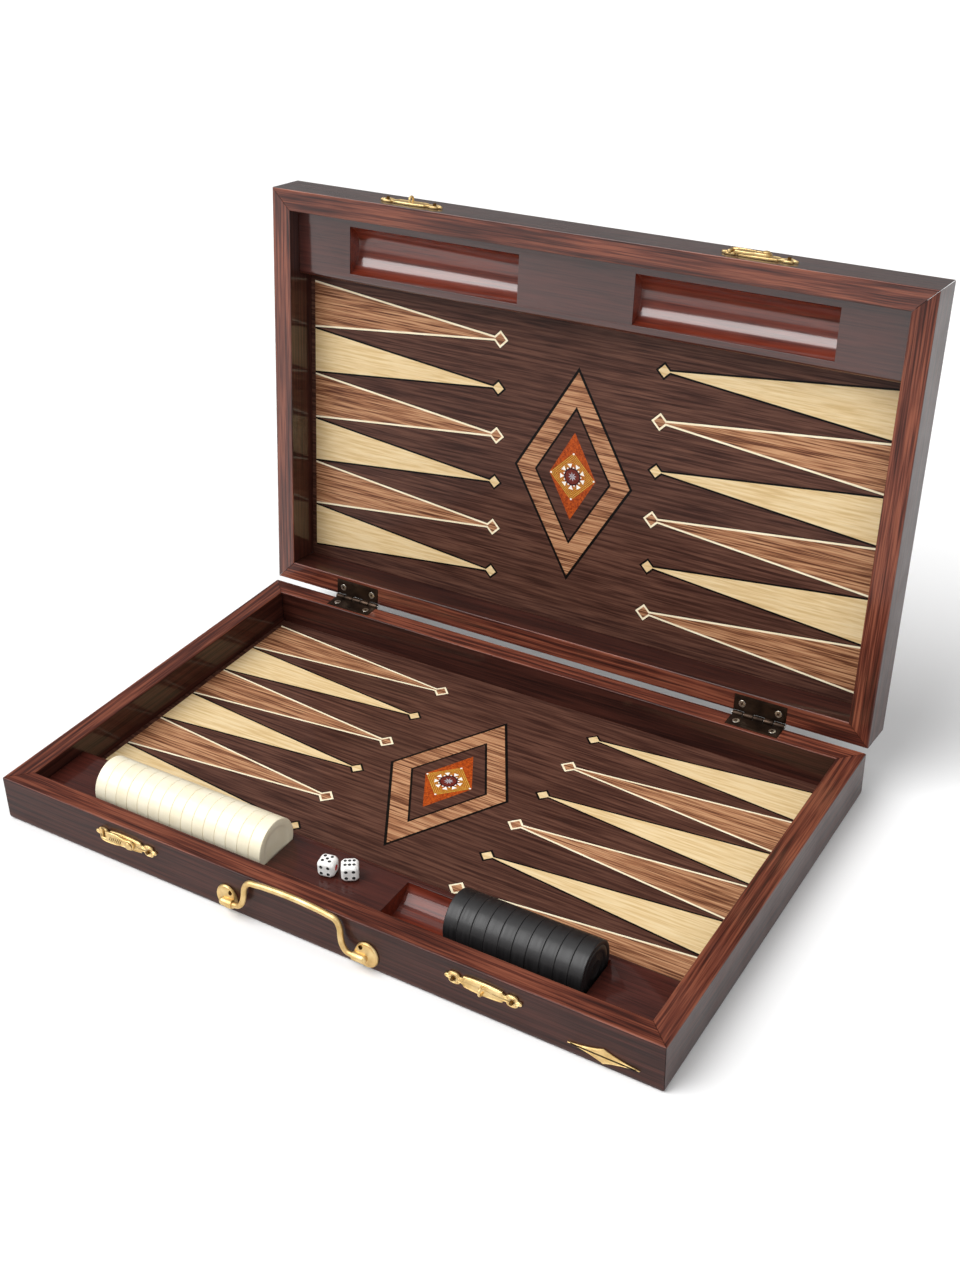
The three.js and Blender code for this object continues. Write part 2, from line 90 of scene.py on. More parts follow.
board_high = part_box("base_board")[1]
rack_low, rack_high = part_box("base_checker_rack")
print("lid opened by", round(math.degrees(lid_opening)), "degrees, board top at", board_high.z)

# %% [markdown]
# ## Camera
#
# A case like this is shown from above one front corner, so that both playing fields are seen. The
# lens is a short telephoto, and a slight roll and shift set the case in the middle of the picture.

# %% Camera
def put_in_scene(name, data):
    """An object that shows a mesh, a curve, a lamp or a camera's lens."""
    made = bpy.data.objects.new(name, data)
    bpy.context.scene.collection.objects.link(made)
    return made


camera_place = (0.4862, -0.7367, 0.6712)
heading_degrees = 33.73
looking_down_degrees = 30.69
roll_degrees = -2.4

camera_data = bpy.data.cameras.new("camera")
camera_data.lens = 46.4
camera_data.shift_x = 0.048
camera_data.shift_y = -0.018
camera_data.clip_start = 0.01
camera_data.clip_end = 60
camera = put_in_scene("camera", camera_data)
heading = Matrix.Rotation(math.radians(heading_degrees), 4, "Z")
tilt = Matrix.Rotation(math.radians(90 - looking_down_degrees), 4, "X")
roll = Matrix.Rotation(math.radians(roll_degrees), 4, "Z")
camera.matrix_world = Matrix.Translation(camera_place) @ heading @ tilt @ roll
bpy.context.scene.camera = camera
print("camera", tuple(round(value, 3) for value in camera.location))

# %% [markdown]
# ## Helpers for meshes
#
# A few small functions make most of the pieces. `add_piece` puts vertices and faces in an object
# whose origin is the frame's origin. `settle` turns what a piece's modifiers make into its plain
# mesh, which is what the rest of the file works on. `hand_over` sets a finished piece in its place
# and says which body it moves with.

# %% Mesh helpers
def add_piece(name, vertices, faces, material=None):
    """A new mesh object, with its faces pointing outwards."""
    mesh = bpy.data.meshes.new(name)
    mesh.from_pydata([tuple(vertex) for vertex in vertices], [], faces)
    piece = put_in_scene(name, mesh)
    work = bmesh.new()
    work.from_mesh(mesh)
    bmesh.ops.remove_doubles(work, verts=work.verts, dist=1e-7)
    bmesh.ops.recalc_face_normals(work, faces=work.faces)
    work.to_mesh(mesh)
    work.free()
    if material:
        mesh.materials.append(material)
    return piece


def settle(piece):
    """Makes what the modifiers show the piece's own plain mesh, and takes the modifiers off."""
    graph = bpy.context.evaluated_depsgraph_get()
    shown = piece.evaluated_get(graph)
    mesh = bpy.data.meshes.new_from_object(shown, preserve_all_data_layers=True, depsgraph=graph)
    piece.modifiers.clear()
    piece.data = mesh
    mesh.name = piece.name
    return piece


def drop(piece):
    bpy.data.objects.remove(piece)


def join(name, pieces):
    """One piece with the meshes and materials of several."""
    whole = bmesh.new()
    materials = []
    for piece in pieces:
        own_slots = []
        for material in piece.data.materials:
            if material not in materials:
                materials.append(material)
            own_slots.append(materials.index(material))
        first_face = len(whole.faces)
        whole.from_mesh(piece.data)
        whole.faces.ensure_lookup_table()
        for face in whole.faces[first_face:]:
            face.material_index = own_slots[face.material_index]
    mesh = bpy.data.meshes.new(name)
    whole.to_mesh(mesh)
    whole.free()
    for material in materials:
        mesh.materials.append(material)
    for piece in pieces:
        drop(piece)
    return put_in_scene(name, mesh)


def smooth(piece, sharp_over):
    """Smooth shading, with the edges that turn by more than so many degrees left crisp."""
    work = bmesh.new()
    work.from_mesh(piece.data)
    limit = math.radians(sharp_over)
    for face in work.faces:
        face.smooth = True
    for edge in work.edges:
        edge.smooth = edge.calc_face_angle(0.0) < limit
    work.to_mesh(piece.data)
    work.free()
    return piece


def bevel(piece, width, segments, over):
    """Eases the edges that turn by more than so many degrees."""
    modifier = piece.modifiers.new("eased edges", "BEVEL")
    modifier.width = width
    modifier.segments = segments
    modifier.limit_method = "ANGLE"
    modifier.angle_limit = math.radians(over)
    modifier.harden_normals = False
    return settle(piece)


def carve(piece, cutter):
    """Cuts one closed mesh out of another. The cut faces keep the cutter's material."""
    modifier = piece.modifiers.new("cut", "BOOLEAN")
    modifier.operation = "DIFFERENCE"
    modifier.solver = "EXACT"
    modifier.material_mode = "TRANSFER"
    modifier.object = cutter
    settle(piece)
    drop(cutter)
    return piece


def hand_over(piece, body, place=None, replaced=()):
    """Sets a finished piece in its place, hangs it on its body's empty and hides the parts it replaces."""
    if place is not None:
        piece.data.transform(place)
    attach(piece, body)
    if replaced:
        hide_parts(*replaced)
    print(piece.name, "rides on", body, "with", len(piece.data.polygons), "faces")
    return piece


# %% [markdown]
# ## Helpers for shapes
#
# Pressed plates, inlays and turned parts all come down to two drawings. A flat outline that rises
# in levels makes the first two, and a profile spun about an axis makes the last. Modifiers could
# do the same, but points placed by a short rule keep every edge exactly where it is wanted.

# %% Shapes from outlines and profiles
def relief(name, outline, levels, material=None):
    """A closed piece that rises from a flat outline in steps.

    outline goes round anticlockwise in x and y. Each level is (inset, height): how far the
    outline has drawn in and how high it is there. Lines engraved along an edge, eased rims and
    domes are all made of such levels.
    """
    count = len(outline)
    inwards = []
    for index, here in enumerate(outline):
        before = Vector(here) - Vector(outline[index - 1])
        after = Vector(outline[(index + 1) % count]) - Vector(here)
        normal = before.normalized() + after.normalized()
        normal = Vector((-normal.y, normal.x)).normalized()
        square = Vector((-before.y, before.x)).normalized()
        inwards.append(normal / max(0.5, normal.dot(square)))
    vertices = []
    for inset, height in levels:
        for here, normal in zip(outline, inwards):
            at = Vector(here) + inset * normal
            vertices.append((at.x, at.y, height))
    faces = [list(range(count))[::-1]]
    for level in range(len(levels) - 1):
        for index in range(count):
            following = (index + 1) % count
            low, high = level * count, (level + 1) * count
            faces.append([low + index, low + following, high + following, high + index])
    top = (len(levels) - 1) * count
    faces.append(list(range(top, top + count)))
    return add_piece(name, vertices, faces, material)


def plate(name, outline, low, high, material=None):
    """A flat plate with upright edges."""
    return relief(name, outline, [(0, low), (0, high)], material)


def turned(name, profile, sides, material=None):
    """A piece turned on a lathe about Z. profile is (radius, height) from pole to pole."""
    vertices = []
    rings = []
    for radius, height in profile:
        if radius == 0:
            rings.append([len(vertices)] * sides)
            vertices.append((0, 0, height))
            continue
        rings.append(list(range(len(vertices), len(vertices) + sides)))
        for index in range(sides):
            angle = 2 * math.pi * index / sides
            vertices.append((radius * math.cos(angle), radius * math.sin(angle), height))
    faces = []
    for lower, upper in zip(rings, rings[1:]):
        for index in range(sides):
            following = (index + 1) % sides
            corners = [lower[index], lower[following], upper[following], upper[index]]
            face = list(dict.fromkeys(corners))
            if len(face) > 2:
                faces.append(face)
    return add_piece(name, vertices, faces, material)


def drum(radius, low, high):
    """The profile of a plain disc or of a round hole's cutter."""
    return [(0, low), (radius, low), (radius, high), (0, high)]


def arc(centre, radius_x, radius_y, start, end, steps):
    """Points along part of an oval, with the angles in degrees."""
    points = []
    for index in range(steps + 1):
        angle = math.radians(start + (end - start) * index / steps)
        points.append((centre[0] + radius_x * math.cos(angle), centre[1] + radius_y * math.sin(angle)))
    return points


def bend(start, control, end, steps):
    """Points along a curve pulled towards its control point, without the last one."""
    corners = (start, control, end)
    points = []
    for index in range(steps):
        t = index / steps
        weights = ((1 - t) ** 2, 2 * t * (1 - t), t ** 2)
        x, y = (sum(weight * corner[axis] for weight, corner in zip(weights, corners)) for axis in (0, 1))
        points.append((x, y))
    return points


# %% [markdown]
# ## Helpers for node trees
#
# Materials and Geometry Nodes are both trees of nodes. `put` adds a node, sets its options and
# feeds its inputs, each from a plain value or from another node's output.

# %% Node helpers
def put(tree, kind, values=None, **options):
    made = tree.nodes.new(kind)
    for option, value in options.items():
        setattr(made, option, value)
    for key, value in (values or {}).items():
        if isinstance(value, bpy.types.NodeSocket):
            tree.links.new(value, made.inputs[key])
        else:
            made.inputs[key].default_value = value
    return made


def calculate(tree, operation, first, second=0.0, third=0.0):
    values = {0: first, 1: second, 2: third}
    return put(tree, "ShaderNodeMath", values, operation=operation).outputs[0]


def between(tree, share, first, second):
    """A colour between two others."""
    values = {0: share, 6: first, 7: second}
    return put(tree, "ShaderNodeMix", values, data_type="RGBA").outputs[2]


def spread(tree, value, low, high, new_low=0.0, new_high=1.0):
    values = {"Value": value, "From Min": low, "From Max": high, "To Min": new_low, "To Max": new_high}
    return put(tree, "ShaderNodeMapRange", values).outputs["Result"]


def noise(tree, vector, scale, detail=3.0, roughness=0.5):
    values = {"Vector": vector, "Scale": scale, "Detail": detail, "Roughness": roughness}
    return put(tree, "ShaderNodeTexNoise", values).outputs[0]


def stretched(tree, vector, factors):
    values = {0: vector, 1: factors}
    return put(tree, "ShaderNodeVectorMath", values, operation="MULTIPLY").outputs[0]


def new_tree(name, kind, inputs, outputs):
    """An empty node tree with named inputs and outputs, and its two end nodes."""
    tree = bpy.data.node_groups.new(name, kind)
    for title, socket_type, value in inputs:
        socket = tree.interface.new_socket(title, in_out="INPUT", socket_type=socket_type)
        if value is not None:
            socket.default_value = value
    for title, socket_type in outputs:
        tree.interface.new_socket(title, in_out="OUTPUT", socket_type=socket_type)
    return tree, tree.nodes.new("NodeGroupInput").outputs, tree.nodes.new("NodeGroupOutput").inputs


def run_tree(piece, tree, **values):
    """Runs a Geometry Nodes tree on a piece and settles the result."""
    modifier = piece.modifiers.new(tree.name, "NODES")
    modifier.node_group = tree
    for socket in tree.interface.items_tree:
        key = socket.name.replace(" ", "_").lower()
        if socket.in_out == "INPUT" and key in values:
            modifier[socket.identifier] = values[key]
    return settle(piece)


def finish_tree(tree, instances, result, material, only=True):
    """Ends a tree: instances are made real faces, and these get their material."""
    real = put(tree, "GeometryNodeRealizeInstances", {0: instances}).outputs[0]
    values = {"Geometry": real, "Selection": only, "Material": material}
    painted = put(tree, "GeometryNodeSetMaterial", values).outputs[0]
    tree.links.new(painted, result)
    print("tree", tree.name, "has", len(tree.nodes), "nodes")


# %% [markdown]
# ## Wood
#
# All the wood here is the same idea with other numbers: long bands of colour, fine fibres inside
# them and short dark pores, all drawn out along the grain. A shader node group holds that figure
# once, and each wood places it with its own spacing. Noise stretched along one axis of the solid
# is a good model of timber, because the figure then goes on round the corner of a rail.
#
# A second group makes the faint cloudiness that polished lacquer picks up from hands.

# %% Shader groups shared by the woods and metals
FLOAT = "NodeSocketFloat"
VECTOR = "NodeSocketVector"

wood_figure, given, shown = new_tree(
    "wood_figure", "ShaderNodeTree",
    [("Vector", VECTOR, None), ("Bands per Metre", FLOAT, 300.0), ("Fibres per Metre", FLOAT, 1000.0),
     ("Length", FLOAT, 20.0), ("Wander", FLOAT, 0.002), ("Crispness", FLOAT, 0.5)],
    [("Bands", FLOAT), ("Fibres", FLOAT), ("Pores", FLOAT), ("Clouds", FLOAT)])
waver = noise(wood_figure, stretched(wood_figure, given["Vector"], (0.35, 1, 1)), 9.0, 2.0)
sway = calculate(wood_figure, "MULTIPLY", calculate(wood_figure, "SUBTRACT", waver, 0.5), given["Wander"])
offset = put(wood_figure, "ShaderNodeCombineXYZ", {1: sway, 2: sway}).outputs[0]
bent = put(wood_figure, "ShaderNodeVectorMath", {0: given["Vector"], 1: offset}, operation="ADD").outputs[0]
shrink = put(wood_figure, "ShaderNodeCombineXYZ",
             {0: calculate(wood_figure, "DIVIDE", 1.0, given["Length"]), 1: 1.0, 2: 1.0}).outputs[0]
drawn_out = stretched(wood_figure, bent, shrink)
bands = noise(wood_figure, drawn_out, given["Bands per Metre"], 2.0, 0.4)
fibres = noise(wood_figure, drawn_out, given["Fibres per Metre"], 2.0, 0.5)
pores = noise(wood_figure, stretched(wood_figure, drawn_out, (1.5, 1, 1)), given["Fibres per Metre"], 1.0)
clouds = noise(wood_figure, stretched(wood_figure, given["Vector"], (0.3, 1, 1)), 28.0, 3.0)
half_range = calculate(wood_figure, "MULTIPLY_ADD", given["Crispness"], -0.2, 0.25)
lowest = calculate(wood_figure, "SUBTRACT", 0.5, half_range)
highest = calculate(wood_figure, "ADD", 0.5, half_range)
for title, value, low, high in (("Bands", bands, lowest, highest), ("Fibres", fibres, lowest, highest),
                                ("Pores", pores, 0.57, 0.7), ("Clouds", clouds, 0.35, 0.65)):
    wood_figure.links.new(spread(wood_figure, value, low, high), shown[title])

handling, given, shown = new_tree(
    "handling", "ShaderNodeTree",
    [("Vector", VECTOR, None), ("Smudges per Metre", FLOAT, 25.0), ("Scratches per Metre", FLOAT, 900.0)],
    [("Smudges", FLOAT), ("Scratches", FLOAT)])
smudges = noise(handling, given["Vector"], given["Smudges per Metre"], 4.0, 0.6)
scratches = noise(handling, stretched(handling, given["Vector"], (0.08, 1, 0.5)),
                  given["Scratches per Metre"], 2.0)
handling.links.new(spread(handling, smudges, 0.35, 0.7), shown["Smudges"])
handling.links.new(spread(handling, scratches, 0.35, 0.65), shown["Scratches"])
print("shader groups:", wood_figure.name, handling.name)

# %% [markdown]
# ## From groups to materials
#
# A material starts with its pattern's own frame. On the base that is the object's coordinates. On
# the lid a Mapping node first lays the tilted tray flat again, so that the same wood runs the
# same way in both halves. A turn and a shift set the grain along a rail, as each rail is cut from
# another stretch of the plank. Below a given height a wood gets darker colours as painted shade.

# %% Material helpers
def new_material(name):
    """An empty material with its Principled shader."""
    material = bpy.data.materials.new(name)
    material.use_nodes = True
    tree = material.node_tree
    tree.nodes.clear()
    shader = tree.nodes.new("ShaderNodeBsdfPrincipled")
    output = tree.nodes.new("ShaderNodeOutputMaterial")
    tree.links.new(shader.outputs[0], output.inputs[0])
    return material, tree, shader


def pattern_vector(tree, place, turn=0.0, shift=(0, 0, 0)):
    """Object coordinates laid flat in the tray's frame, then turned and shifted."""
    own = tree.nodes.new("ShaderNodeTexCoord").outputs["Object"]
    settle_flat = Matrix.Translation(shift) @ Matrix.Rotation(turn, 4, "Z") @ place.inverted()
    values = {"Vector": own, "Location": settle_flat.translation, "Rotation": settle_flat.to_euler()}
    return put(tree, "ShaderNodeMapping", values).outputs[0]


def use_group(tree, group, **values):
    """Places a shader group. An input's name is given in lower case with underscores."""
    made = put(tree, "ShaderNodeGroup", node_tree=group)
    for socket in made.inputs:
        key = socket.name.replace(" ", "_").lower()
        if key not in values:
            continue
        if isinstance(values[key], bpy.types.NodeSocket):
            tree.links.new(values[key], socket)
        else:
            socket.default_value = values[key]
    return made.outputs


def colour(red, green, blue):
    """A linear colour from the usual 0 to 255 values."""
    return tuple(((value / 255 + 0.055) / 1.055) ** 2.4 for value in (red, green, blue)) + (1.0,)


def bumped(tree, shader, height, depth, strength):
    values = {"Height": height, "Distance": depth, "Strength": strength}
    bump = put(tree, "ShaderNodeBump", values)
    tree.links.new(bump.outputs[0], shader.inputs["Normal"])


def lacquer(tree, shader, vector, coat, specular, coat_roughness=0.08, roughness=(0.38, 0.5)):
    """A clear polished film over a satin ground."""
    marks = use_group(tree, handling, vector=vector)
    tree.links.new(spread(tree, marks["Smudges"], 0, 1, *roughness), shader.inputs["Roughness"])
    shader.inputs["Specular IOR Level"].default_value = specular
    shader.inputs["Coat Weight"].default_value = coat
    shader.inputs["Coat Roughness"].default_value = coat_roughness


def timber(name, place, dark, middle, light, bands, fibres, length, wander=0.002, crisp=0.5,
           turn=0.0, shift=(0, 0, 0), pore_share=0.5, cloud_share=0.3, stain=None, **film):
    """A lacquered wood with three colours in its figure.

    stain is (height, dark, light): below that height the wood is painted in two darker colours,
    as painted shade on faces that the light reaches less.
    """
    material, tree, shader = new_material(name)
    vector = pattern_vector(tree, place, turn, shift)
    figure = use_group(tree, wood_figure, vector=vector, bands_per_metre=bands,
                       fibres_per_metre=fibres, length=length, wander=wander, crispness=crisp)
    broad = calculate(tree, "MULTIPLY", figure["Bands"], 0.6)
    tone = calculate(tree, "MULTIPLY_ADD", figure["Fibres"], 0.4, broad)
    lower = between(tree, spread(tree, tone, 0.1, 0.5), dark, middle)
    streaked = between(tree, spread(tree, tone, 0.5, 0.9), lower, light)
    clouded = between(tree, calculate(tree, "MULTIPLY", figure["Clouds"], cloud_share), streaked, dark)
    pore_colour = tuple(0.45 * value for value in dark[:3]) + (1.0,)
    porous = between(tree, calculate(tree, "MULTIPLY", figure["Pores"], pore_share), clouded, pore_colour)
    # Below the given height the colours are painted shade: darker tones for the upright faces.
    if stain:
        painted_shade_height, painted_shade_dark, painted_shade_light = stain
        height = put(tree, "ShaderNodeSeparateXYZ", {0: pattern_vector(tree, place)}).outputs[2]
        below = spread(tree, height, painted_shade_height - 0.3 * mm, painted_shade_height, 1.0, 0.0)
        porous = between(tree, below, porous, between(tree, tone, painted_shade_dark, painted_shade_light))
    tree.links.new(porous, shader.inputs["Base Color"])
    lacquer(tree, shader, vector, **film)
    bumped(tree, shader, calculate(tree, "SUBTRACT", tone, figure["Pores"]), 0.02 * mm, 0.6)
    return material


# %% [markdown]
# ## The woods of this case
#
# The frame is rosewood, reddish where it was planed, and painted darker on its upright faces as
# painted shade. The field is a dark brown veneer, with pale maple and streaky brown points.
# Painting each of them by hand would not go round a corner, so all are one wood recipe with their
# own colours and spacing.

# %% The woods
rim_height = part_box("base_front_rail")[1].z


def rosewood(name, place, turn, shift, coat):
    """Reddish on the rim, and painted a darker brown on the upright faces as painted shade."""
    # These darker colours below the rim are painted shade on the upright faces, outside and in.
    stain = (rim_height - 0.4 * mm, colour(32, 11, 8), colour(70, 35, 27))
    return timber(name, place, colour(50, 19, 13), colour(98, 47, 33), colour(136, 76, 55),
                  bands=420, fibres=1200, length=40, wander=0.004, crisp=0.6, turn=turn, shift=shift,
                  pore_share=0.35, stain=stain, coat=coat, coat_roughness=0.1, specular=0.15)


def field_veneer(name, place):
    return timber(name, place, colour(50, 26, 20), colour(80, 50, 40), colour(102, 68, 55),
                  bands=500, fibres=1200, length=30, wander=0.002, crisp=0.55, pore_share=0.35,
                  coat=0.08, specular=0.15)


def maple_veneer(name, place):
    return timber(name, place, colour(204, 174, 124), colour(220, 194, 148), colour(228, 206, 164),
                  bands=500, fibres=1300, length=20, pore_share=0.1, cloud_share=0.15,
                  coat=0.08, specular=0.15)


def zebra_veneer(name, place):
    return timber(name, place, colour(88, 50, 33), colour(158, 108, 76), colour(194, 148, 110),
                  bands=800, fibres=1500, length=40, wander=0.001, crisp=0.75, pore_share=0.2,
                  cloud_share=0.1, coat=0.08, specular=0.15)


# The lacquer is worn on some rails and still deep on others.
rail_coats = {
    "base": {"front": 0.2, "back": 0.2, "left": 0.35, "right": 0.4},
    "lid": {"front": 0.8, "back": 0.4, "left": 1.0, "right": 0.35},
}
for tray, place in tray_place.items():
    veneer = field_veneer(f"field_veneer_{tray}", place)
    frame["nodes"][f"{tray}_board"].material_slots[0].material = veneer
    for number, side in enumerate(("front", "back", "left", "right")):
        node = frame["nodes"][f"{tray}_{side}_rail"]
        along_y = side in ("left", "right")
        turn = math.pi / 2 if along_y else 0.0
        shift = (0.37 * number, 0.11 * number, 0.05 * number)
        wood = rosewood(f"rosewood_{tray}_{side}", place, turn, shift, rail_coats[tray][side])
        node.material_slots[0].material = wood
print("boards and rails have their woods")

# %% [markdown]
# ## Racks
#
# A rack is one plank with two round-bottomed troughs milled into it, and lacquered until it
# mirrors what stands on it. The milling leaves crisp rims that catch a thin line of light, so the
# rack is made again from its section with finely divided troughs and eased rims. The wood inside
# the troughs is cut across the rings and shows redder.

# %% Rack wood
def rack_wood(name, place, coat, coat_roughness):
    material, tree, shader = new_material(name)
    vector = pattern_vector(tree, place)
    figure = use_group(tree, wood_figure, vector=vector, bands_per_metre=400.0,
                       fibres_per_metre=1200.0, length=30.0, wander=0.003)
    top = between(tree, figure["Bands"], colour(44, 15, 11), colour(66, 28, 22))
    top = between(tree, calculate(tree, "MULTIPLY", figure["Fibres"], 0.5), top, colour(84, 38, 29))
    milled = between(tree, figure["Bands"], colour(70, 18, 8), colour(104, 36, 19))
    milled = between(tree, calculate(tree, "MULTIPLY", figure["Fibres"], 0.5), milled, colour(126, 52, 32))
    height = put(tree, "ShaderNodeSeparateXYZ", {0: vector}).outputs[2]
    depth = spread(tree, height, rack_high.z - 0.9 * mm, rack_high.z - 0.4 * mm, 1.0, 0.0)
    tree.links.new(between(tree, depth, top, milled), shader.inputs["Base Color"])
    lacquer(tree, shader, vector, coat, 0.2, coat_roughness, (0.3, 0.42))
    shader.inputs["Coat IOR"].default_value = 1.65
    bumped(tree, shader, figure["Fibres"], 0.015 * mm, 0.5)
    return material


# %% [markdown]
# ## Milling the troughs
#
# A joiner mills a trough with a round-nosed cutter. The same is done here: the plank is drawn as a
# section with one rounded edge, two long drums are cut out of it with a Boolean modifier, and a
# Bevel modifier eases the new rims. The cut faces keep the rack's own material.

# %% Rack with its troughs
trough_radius = 18 * mm
trough_start = 43 * mm
trough_length = 137 * mm
trough_y = (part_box("white_checker_01")[0].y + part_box("white_checker_01")[1].y) / 2
trough_z = 28.5 * mm
rack_round = 2.5 * mm


def make_rack(name, material):
    """The plank's section runs in y and z, and its length along x."""
    low, high = rack_low, rack_high
    section = [(low.y, low.z), (high.y, low.z)]
    section += arc((high.y - rack_round, high.z - rack_round), rack_round, rack_round, 0, 90, 8)
    section += [(low.y, high.z)]
    plank = plate(name, section, low.x, high.x, material)
    upright_to_length = Matrix(((0, 0, 1, 0), (1, 0, 0, 0), (0, 1, 0, 0), (0, 0, 0, 1)))
    plank.data.transform(upright_to_length)
    cutters = []
    for side in (-1, 1):
        middle = side * (trough_start + trough_length / 2)
        half = trough_length / 2
        cutter = turned("trough_cutter", drum(trough_radius, -half, half), 160, material)
        lying = Matrix.Translation((middle, trough_y, trough_z)) @ Matrix.Rotation(math.pi / 2, 4, "Y")
        cutter.data.transform(lying)
        cutters.append(cutter)
    carve(plank, join("trough_cutters", cutters))
    bevel(plank, 0.5 * mm, 3, 40)
    return smooth(plank, 30)


for tray, place in tray_place.items():
    film = (1.0, 0.13) if tray == "lid" else (0.3, 0.05)
    rack = make_rack(f"{tray}_rack", rack_wood(f"rack_wood_{tray}", place, *film))
    hand_over(rack, tray, place, [f"{tray}_checker_rack"])


# %% [markdown]
# ## Inlaid points
#
# The twelve long points of a field are strips of veneer let into the board, each ending in a small
# lozenge. Light maple points have a black line round them, and streaky brown ones a cream line.
# Each colour is a thin plate whose top stands a hair above the one below, as veneer does under
# lacquer. One point is drawn with an outline that can be drawn in by any line width. A Geometry
# Nodes tree then lays three in a row and repeats the row turned half round for the other side.

# %% Outline of one point with its lozenge
row_count = 6
field_back = board_high.y - 7.7 * mm
field_front = {"base": rack_high.y, "lid": rack_high.y + 7.2 * mm}
row_pitch = {tray: (field_back - front) / row_count for tray, front in field_front.items()}
field_middle = {tray: (field_back + front) / 2 for tray, front in field_front.items()}
point_foot = -board_high.x + 3.7 * mm
lozenge_centre = -62.5 * mm
lozenge_half = (6.3 * mm, 6.4 * mm)
neck_x = -68.4 * mm
neck_half = 1.9 * mm


def rhombus(half_x, half_y, inset=0.0, centre=(0.0, 0.0)):
    """The corners of a lozenge, drawn in all round by inset."""
    share = 1 - inset * math.hypot(half_x, half_y) / (half_x * half_y)
    x, y = half_x * share, half_y * share
    return [(centre[0] + x, centre[1]), (centre[0], centre[1] + y),
            (centre[0] - x, centre[1]), (centre[0], centre[1] - y)]


def point_outline(foot_width, inset):
    """A long triangle that runs into a lozenge, drawn in by inset on its sides."""
    foot_half = foot_width / 2 - inset
    slope = (foot_width / 2 - neck_half) / (neck_x - point_foot)
    right, top, left, bottom = rhombus(*lozenge_half, inset, (lozenge_centre, 0.0))
    lozenge_slope = top[1] / (top[0] - left[0])
    meet_x = (foot_half + slope * point_foot + lozenge_slope * left[0]) / (slope + lozenge_slope)
    meet_y = lozenge_slope * (meet_x - left[0])
    return [(point_foot, -foot_half), (meet_x, -meet_y), bottom, right, top,
            (meet_x, meet_y), (point_foot, foot_half)]


for tray, pitch in row_pitch.items():
    print(f"points of the {tray} are", round(pitch / mm, 1), "mm wide at the foot")


# %% [markdown]
# ## Laying a row of points
#
# Three equal points in a row, and the same row turned half round on the other side, could be
# copied by hand. A tree does it for every layer of veneer at once: a Mesh Line gives the places,
# Instance on Points puts the veneer there, and the instances are made real at the end, because
# only real faces can be handed to other programs.

# %% Geometry Nodes tree that lays the points
GEOMETRY = "NodeSocketGeometry"
COUNT = "NodeSocketInt"
MATERIAL = "NodeSocketMaterial"

laid_points, given, shown = new_tree(
    "laid_points", "GeometryNodeTree",
    [("Geometry", GEOMETRY, None), ("Count", COUNT, 3), ("First", FLOAT, 0.0), ("Step", FLOAT, 0.07),
     ("Middle", FLOAT, 0.0), ("Material", MATERIAL, None)],
    [("Geometry", GEOMETRY)])
first = put(laid_points, "ShaderNodeCombineXYZ", {1: given["First"]}).outputs[0]
step = put(laid_points, "ShaderNodeCombineXYZ",
           {1: calculate(laid_points, "MULTIPLY", given["Step"], -1.0)}).outputs[0]
row = put(laid_points, "GeometryNodeMeshLine",
          {"Count": given["Count"], "Start Location": first, "Offset": step}).outputs[0]
one_side = put(laid_points, "GeometryNodeInstanceOnPoints",
               {"Points": row, "Instance": given["Geometry"]}).outputs[0]
across = put(laid_points, "ShaderNodeCombineXYZ",
             {1: calculate(laid_points, "MULTIPLY", given["Middle"], 2.0)}).outputs[0]
other_side = put(laid_points, "GeometryNodeTransform",
                 {"Geometry": one_side, "Translation": across, "Rotation": (0, 0, math.pi)}).outputs[0]
both = laid_points.nodes.new("GeometryNodeJoinGeometry")
laid_points.links.new(one_side, both.inputs[0])
laid_points.links.new(other_side, both.inputs[0])
finish_tree(laid_points, both.outputs[0], shown[0], given["Material"])

# %% [markdown]
# ## Dyed lines
#
# The thin lines between the veneers are strips of black and cream wood. They could be flat
# colours, but even dyed wood keeps some grain, so they use the wood recipe with two close tones.

# %% Plain veneers for the lines
def line_veneer(name, place, dark, light):
    """A narrow strip of dyed wood, nearly one colour."""
    return timber(name, place, dark, dark, light, bands=500, fibres=2200, length=30, pore_share=0.2,
                  coat=0.05, specular=0.1)


INK = (colour(6, 4, 3), colour(16, 12, 10))
CREAM = (colour(236, 222, 190), colour(250, 240, 214))

# %% [markdown]
# ## Five layers of veneer
#
# Each point is built like the real inlay, from the line upwards: a wider plate for the line, then
# the point itself, drawn in by the line's width. The layers stand only hundredths of a millimetre
# apart, which is enough to keep them from flickering through each other.

# %% Lay the points in both fields
sunk = board_high.z - 0.1 * mm
line_layers = [
    # name, inset of the outline, height above the board, first row in rows from the back
    ("light_point_line", 0.0, 0.03 * mm, 1.5),
    ("light_point", 1.4 * mm, 0.06 * mm, 1.5),
    ("brown_point_shadow_line", -0.35 * mm, 0.02 * mm, 0.5),
    ("brown_point_line", 0.0, 0.04 * mm, 0.5),
    ("brown_point", 1.4 * mm, 0.07 * mm, 0.5),
]
for tray, place in tray_place.items():
    veneers = {
        "light_point_line": line_veneer(f"ink_line_{tray}", place, *INK),
        "light_point": maple_veneer(f"maple_veneer_{tray}", place),
        "brown_point_line": line_veneer(f"cream_line_{tray}", place, *CREAM),
        "brown_point": zebra_veneer(f"zebra_veneer_{tray}", place),
    }
    veneers["brown_point_shadow_line"] = veneers["light_point_line"]
    for name, inset, height, first_row in line_layers:
        pitch = row_pitch[tray]
        one = plate(f"{tray}_{name}s", point_outline(pitch, inset), sunk, board_high.z + height)
        run_tree(one, laid_points, count=row_count // 2, first=field_back - first_row * pitch,
                 step=2 * pitch, middle=field_middle[tray], material=veneers[name])
        hand_over(one, tray, place)


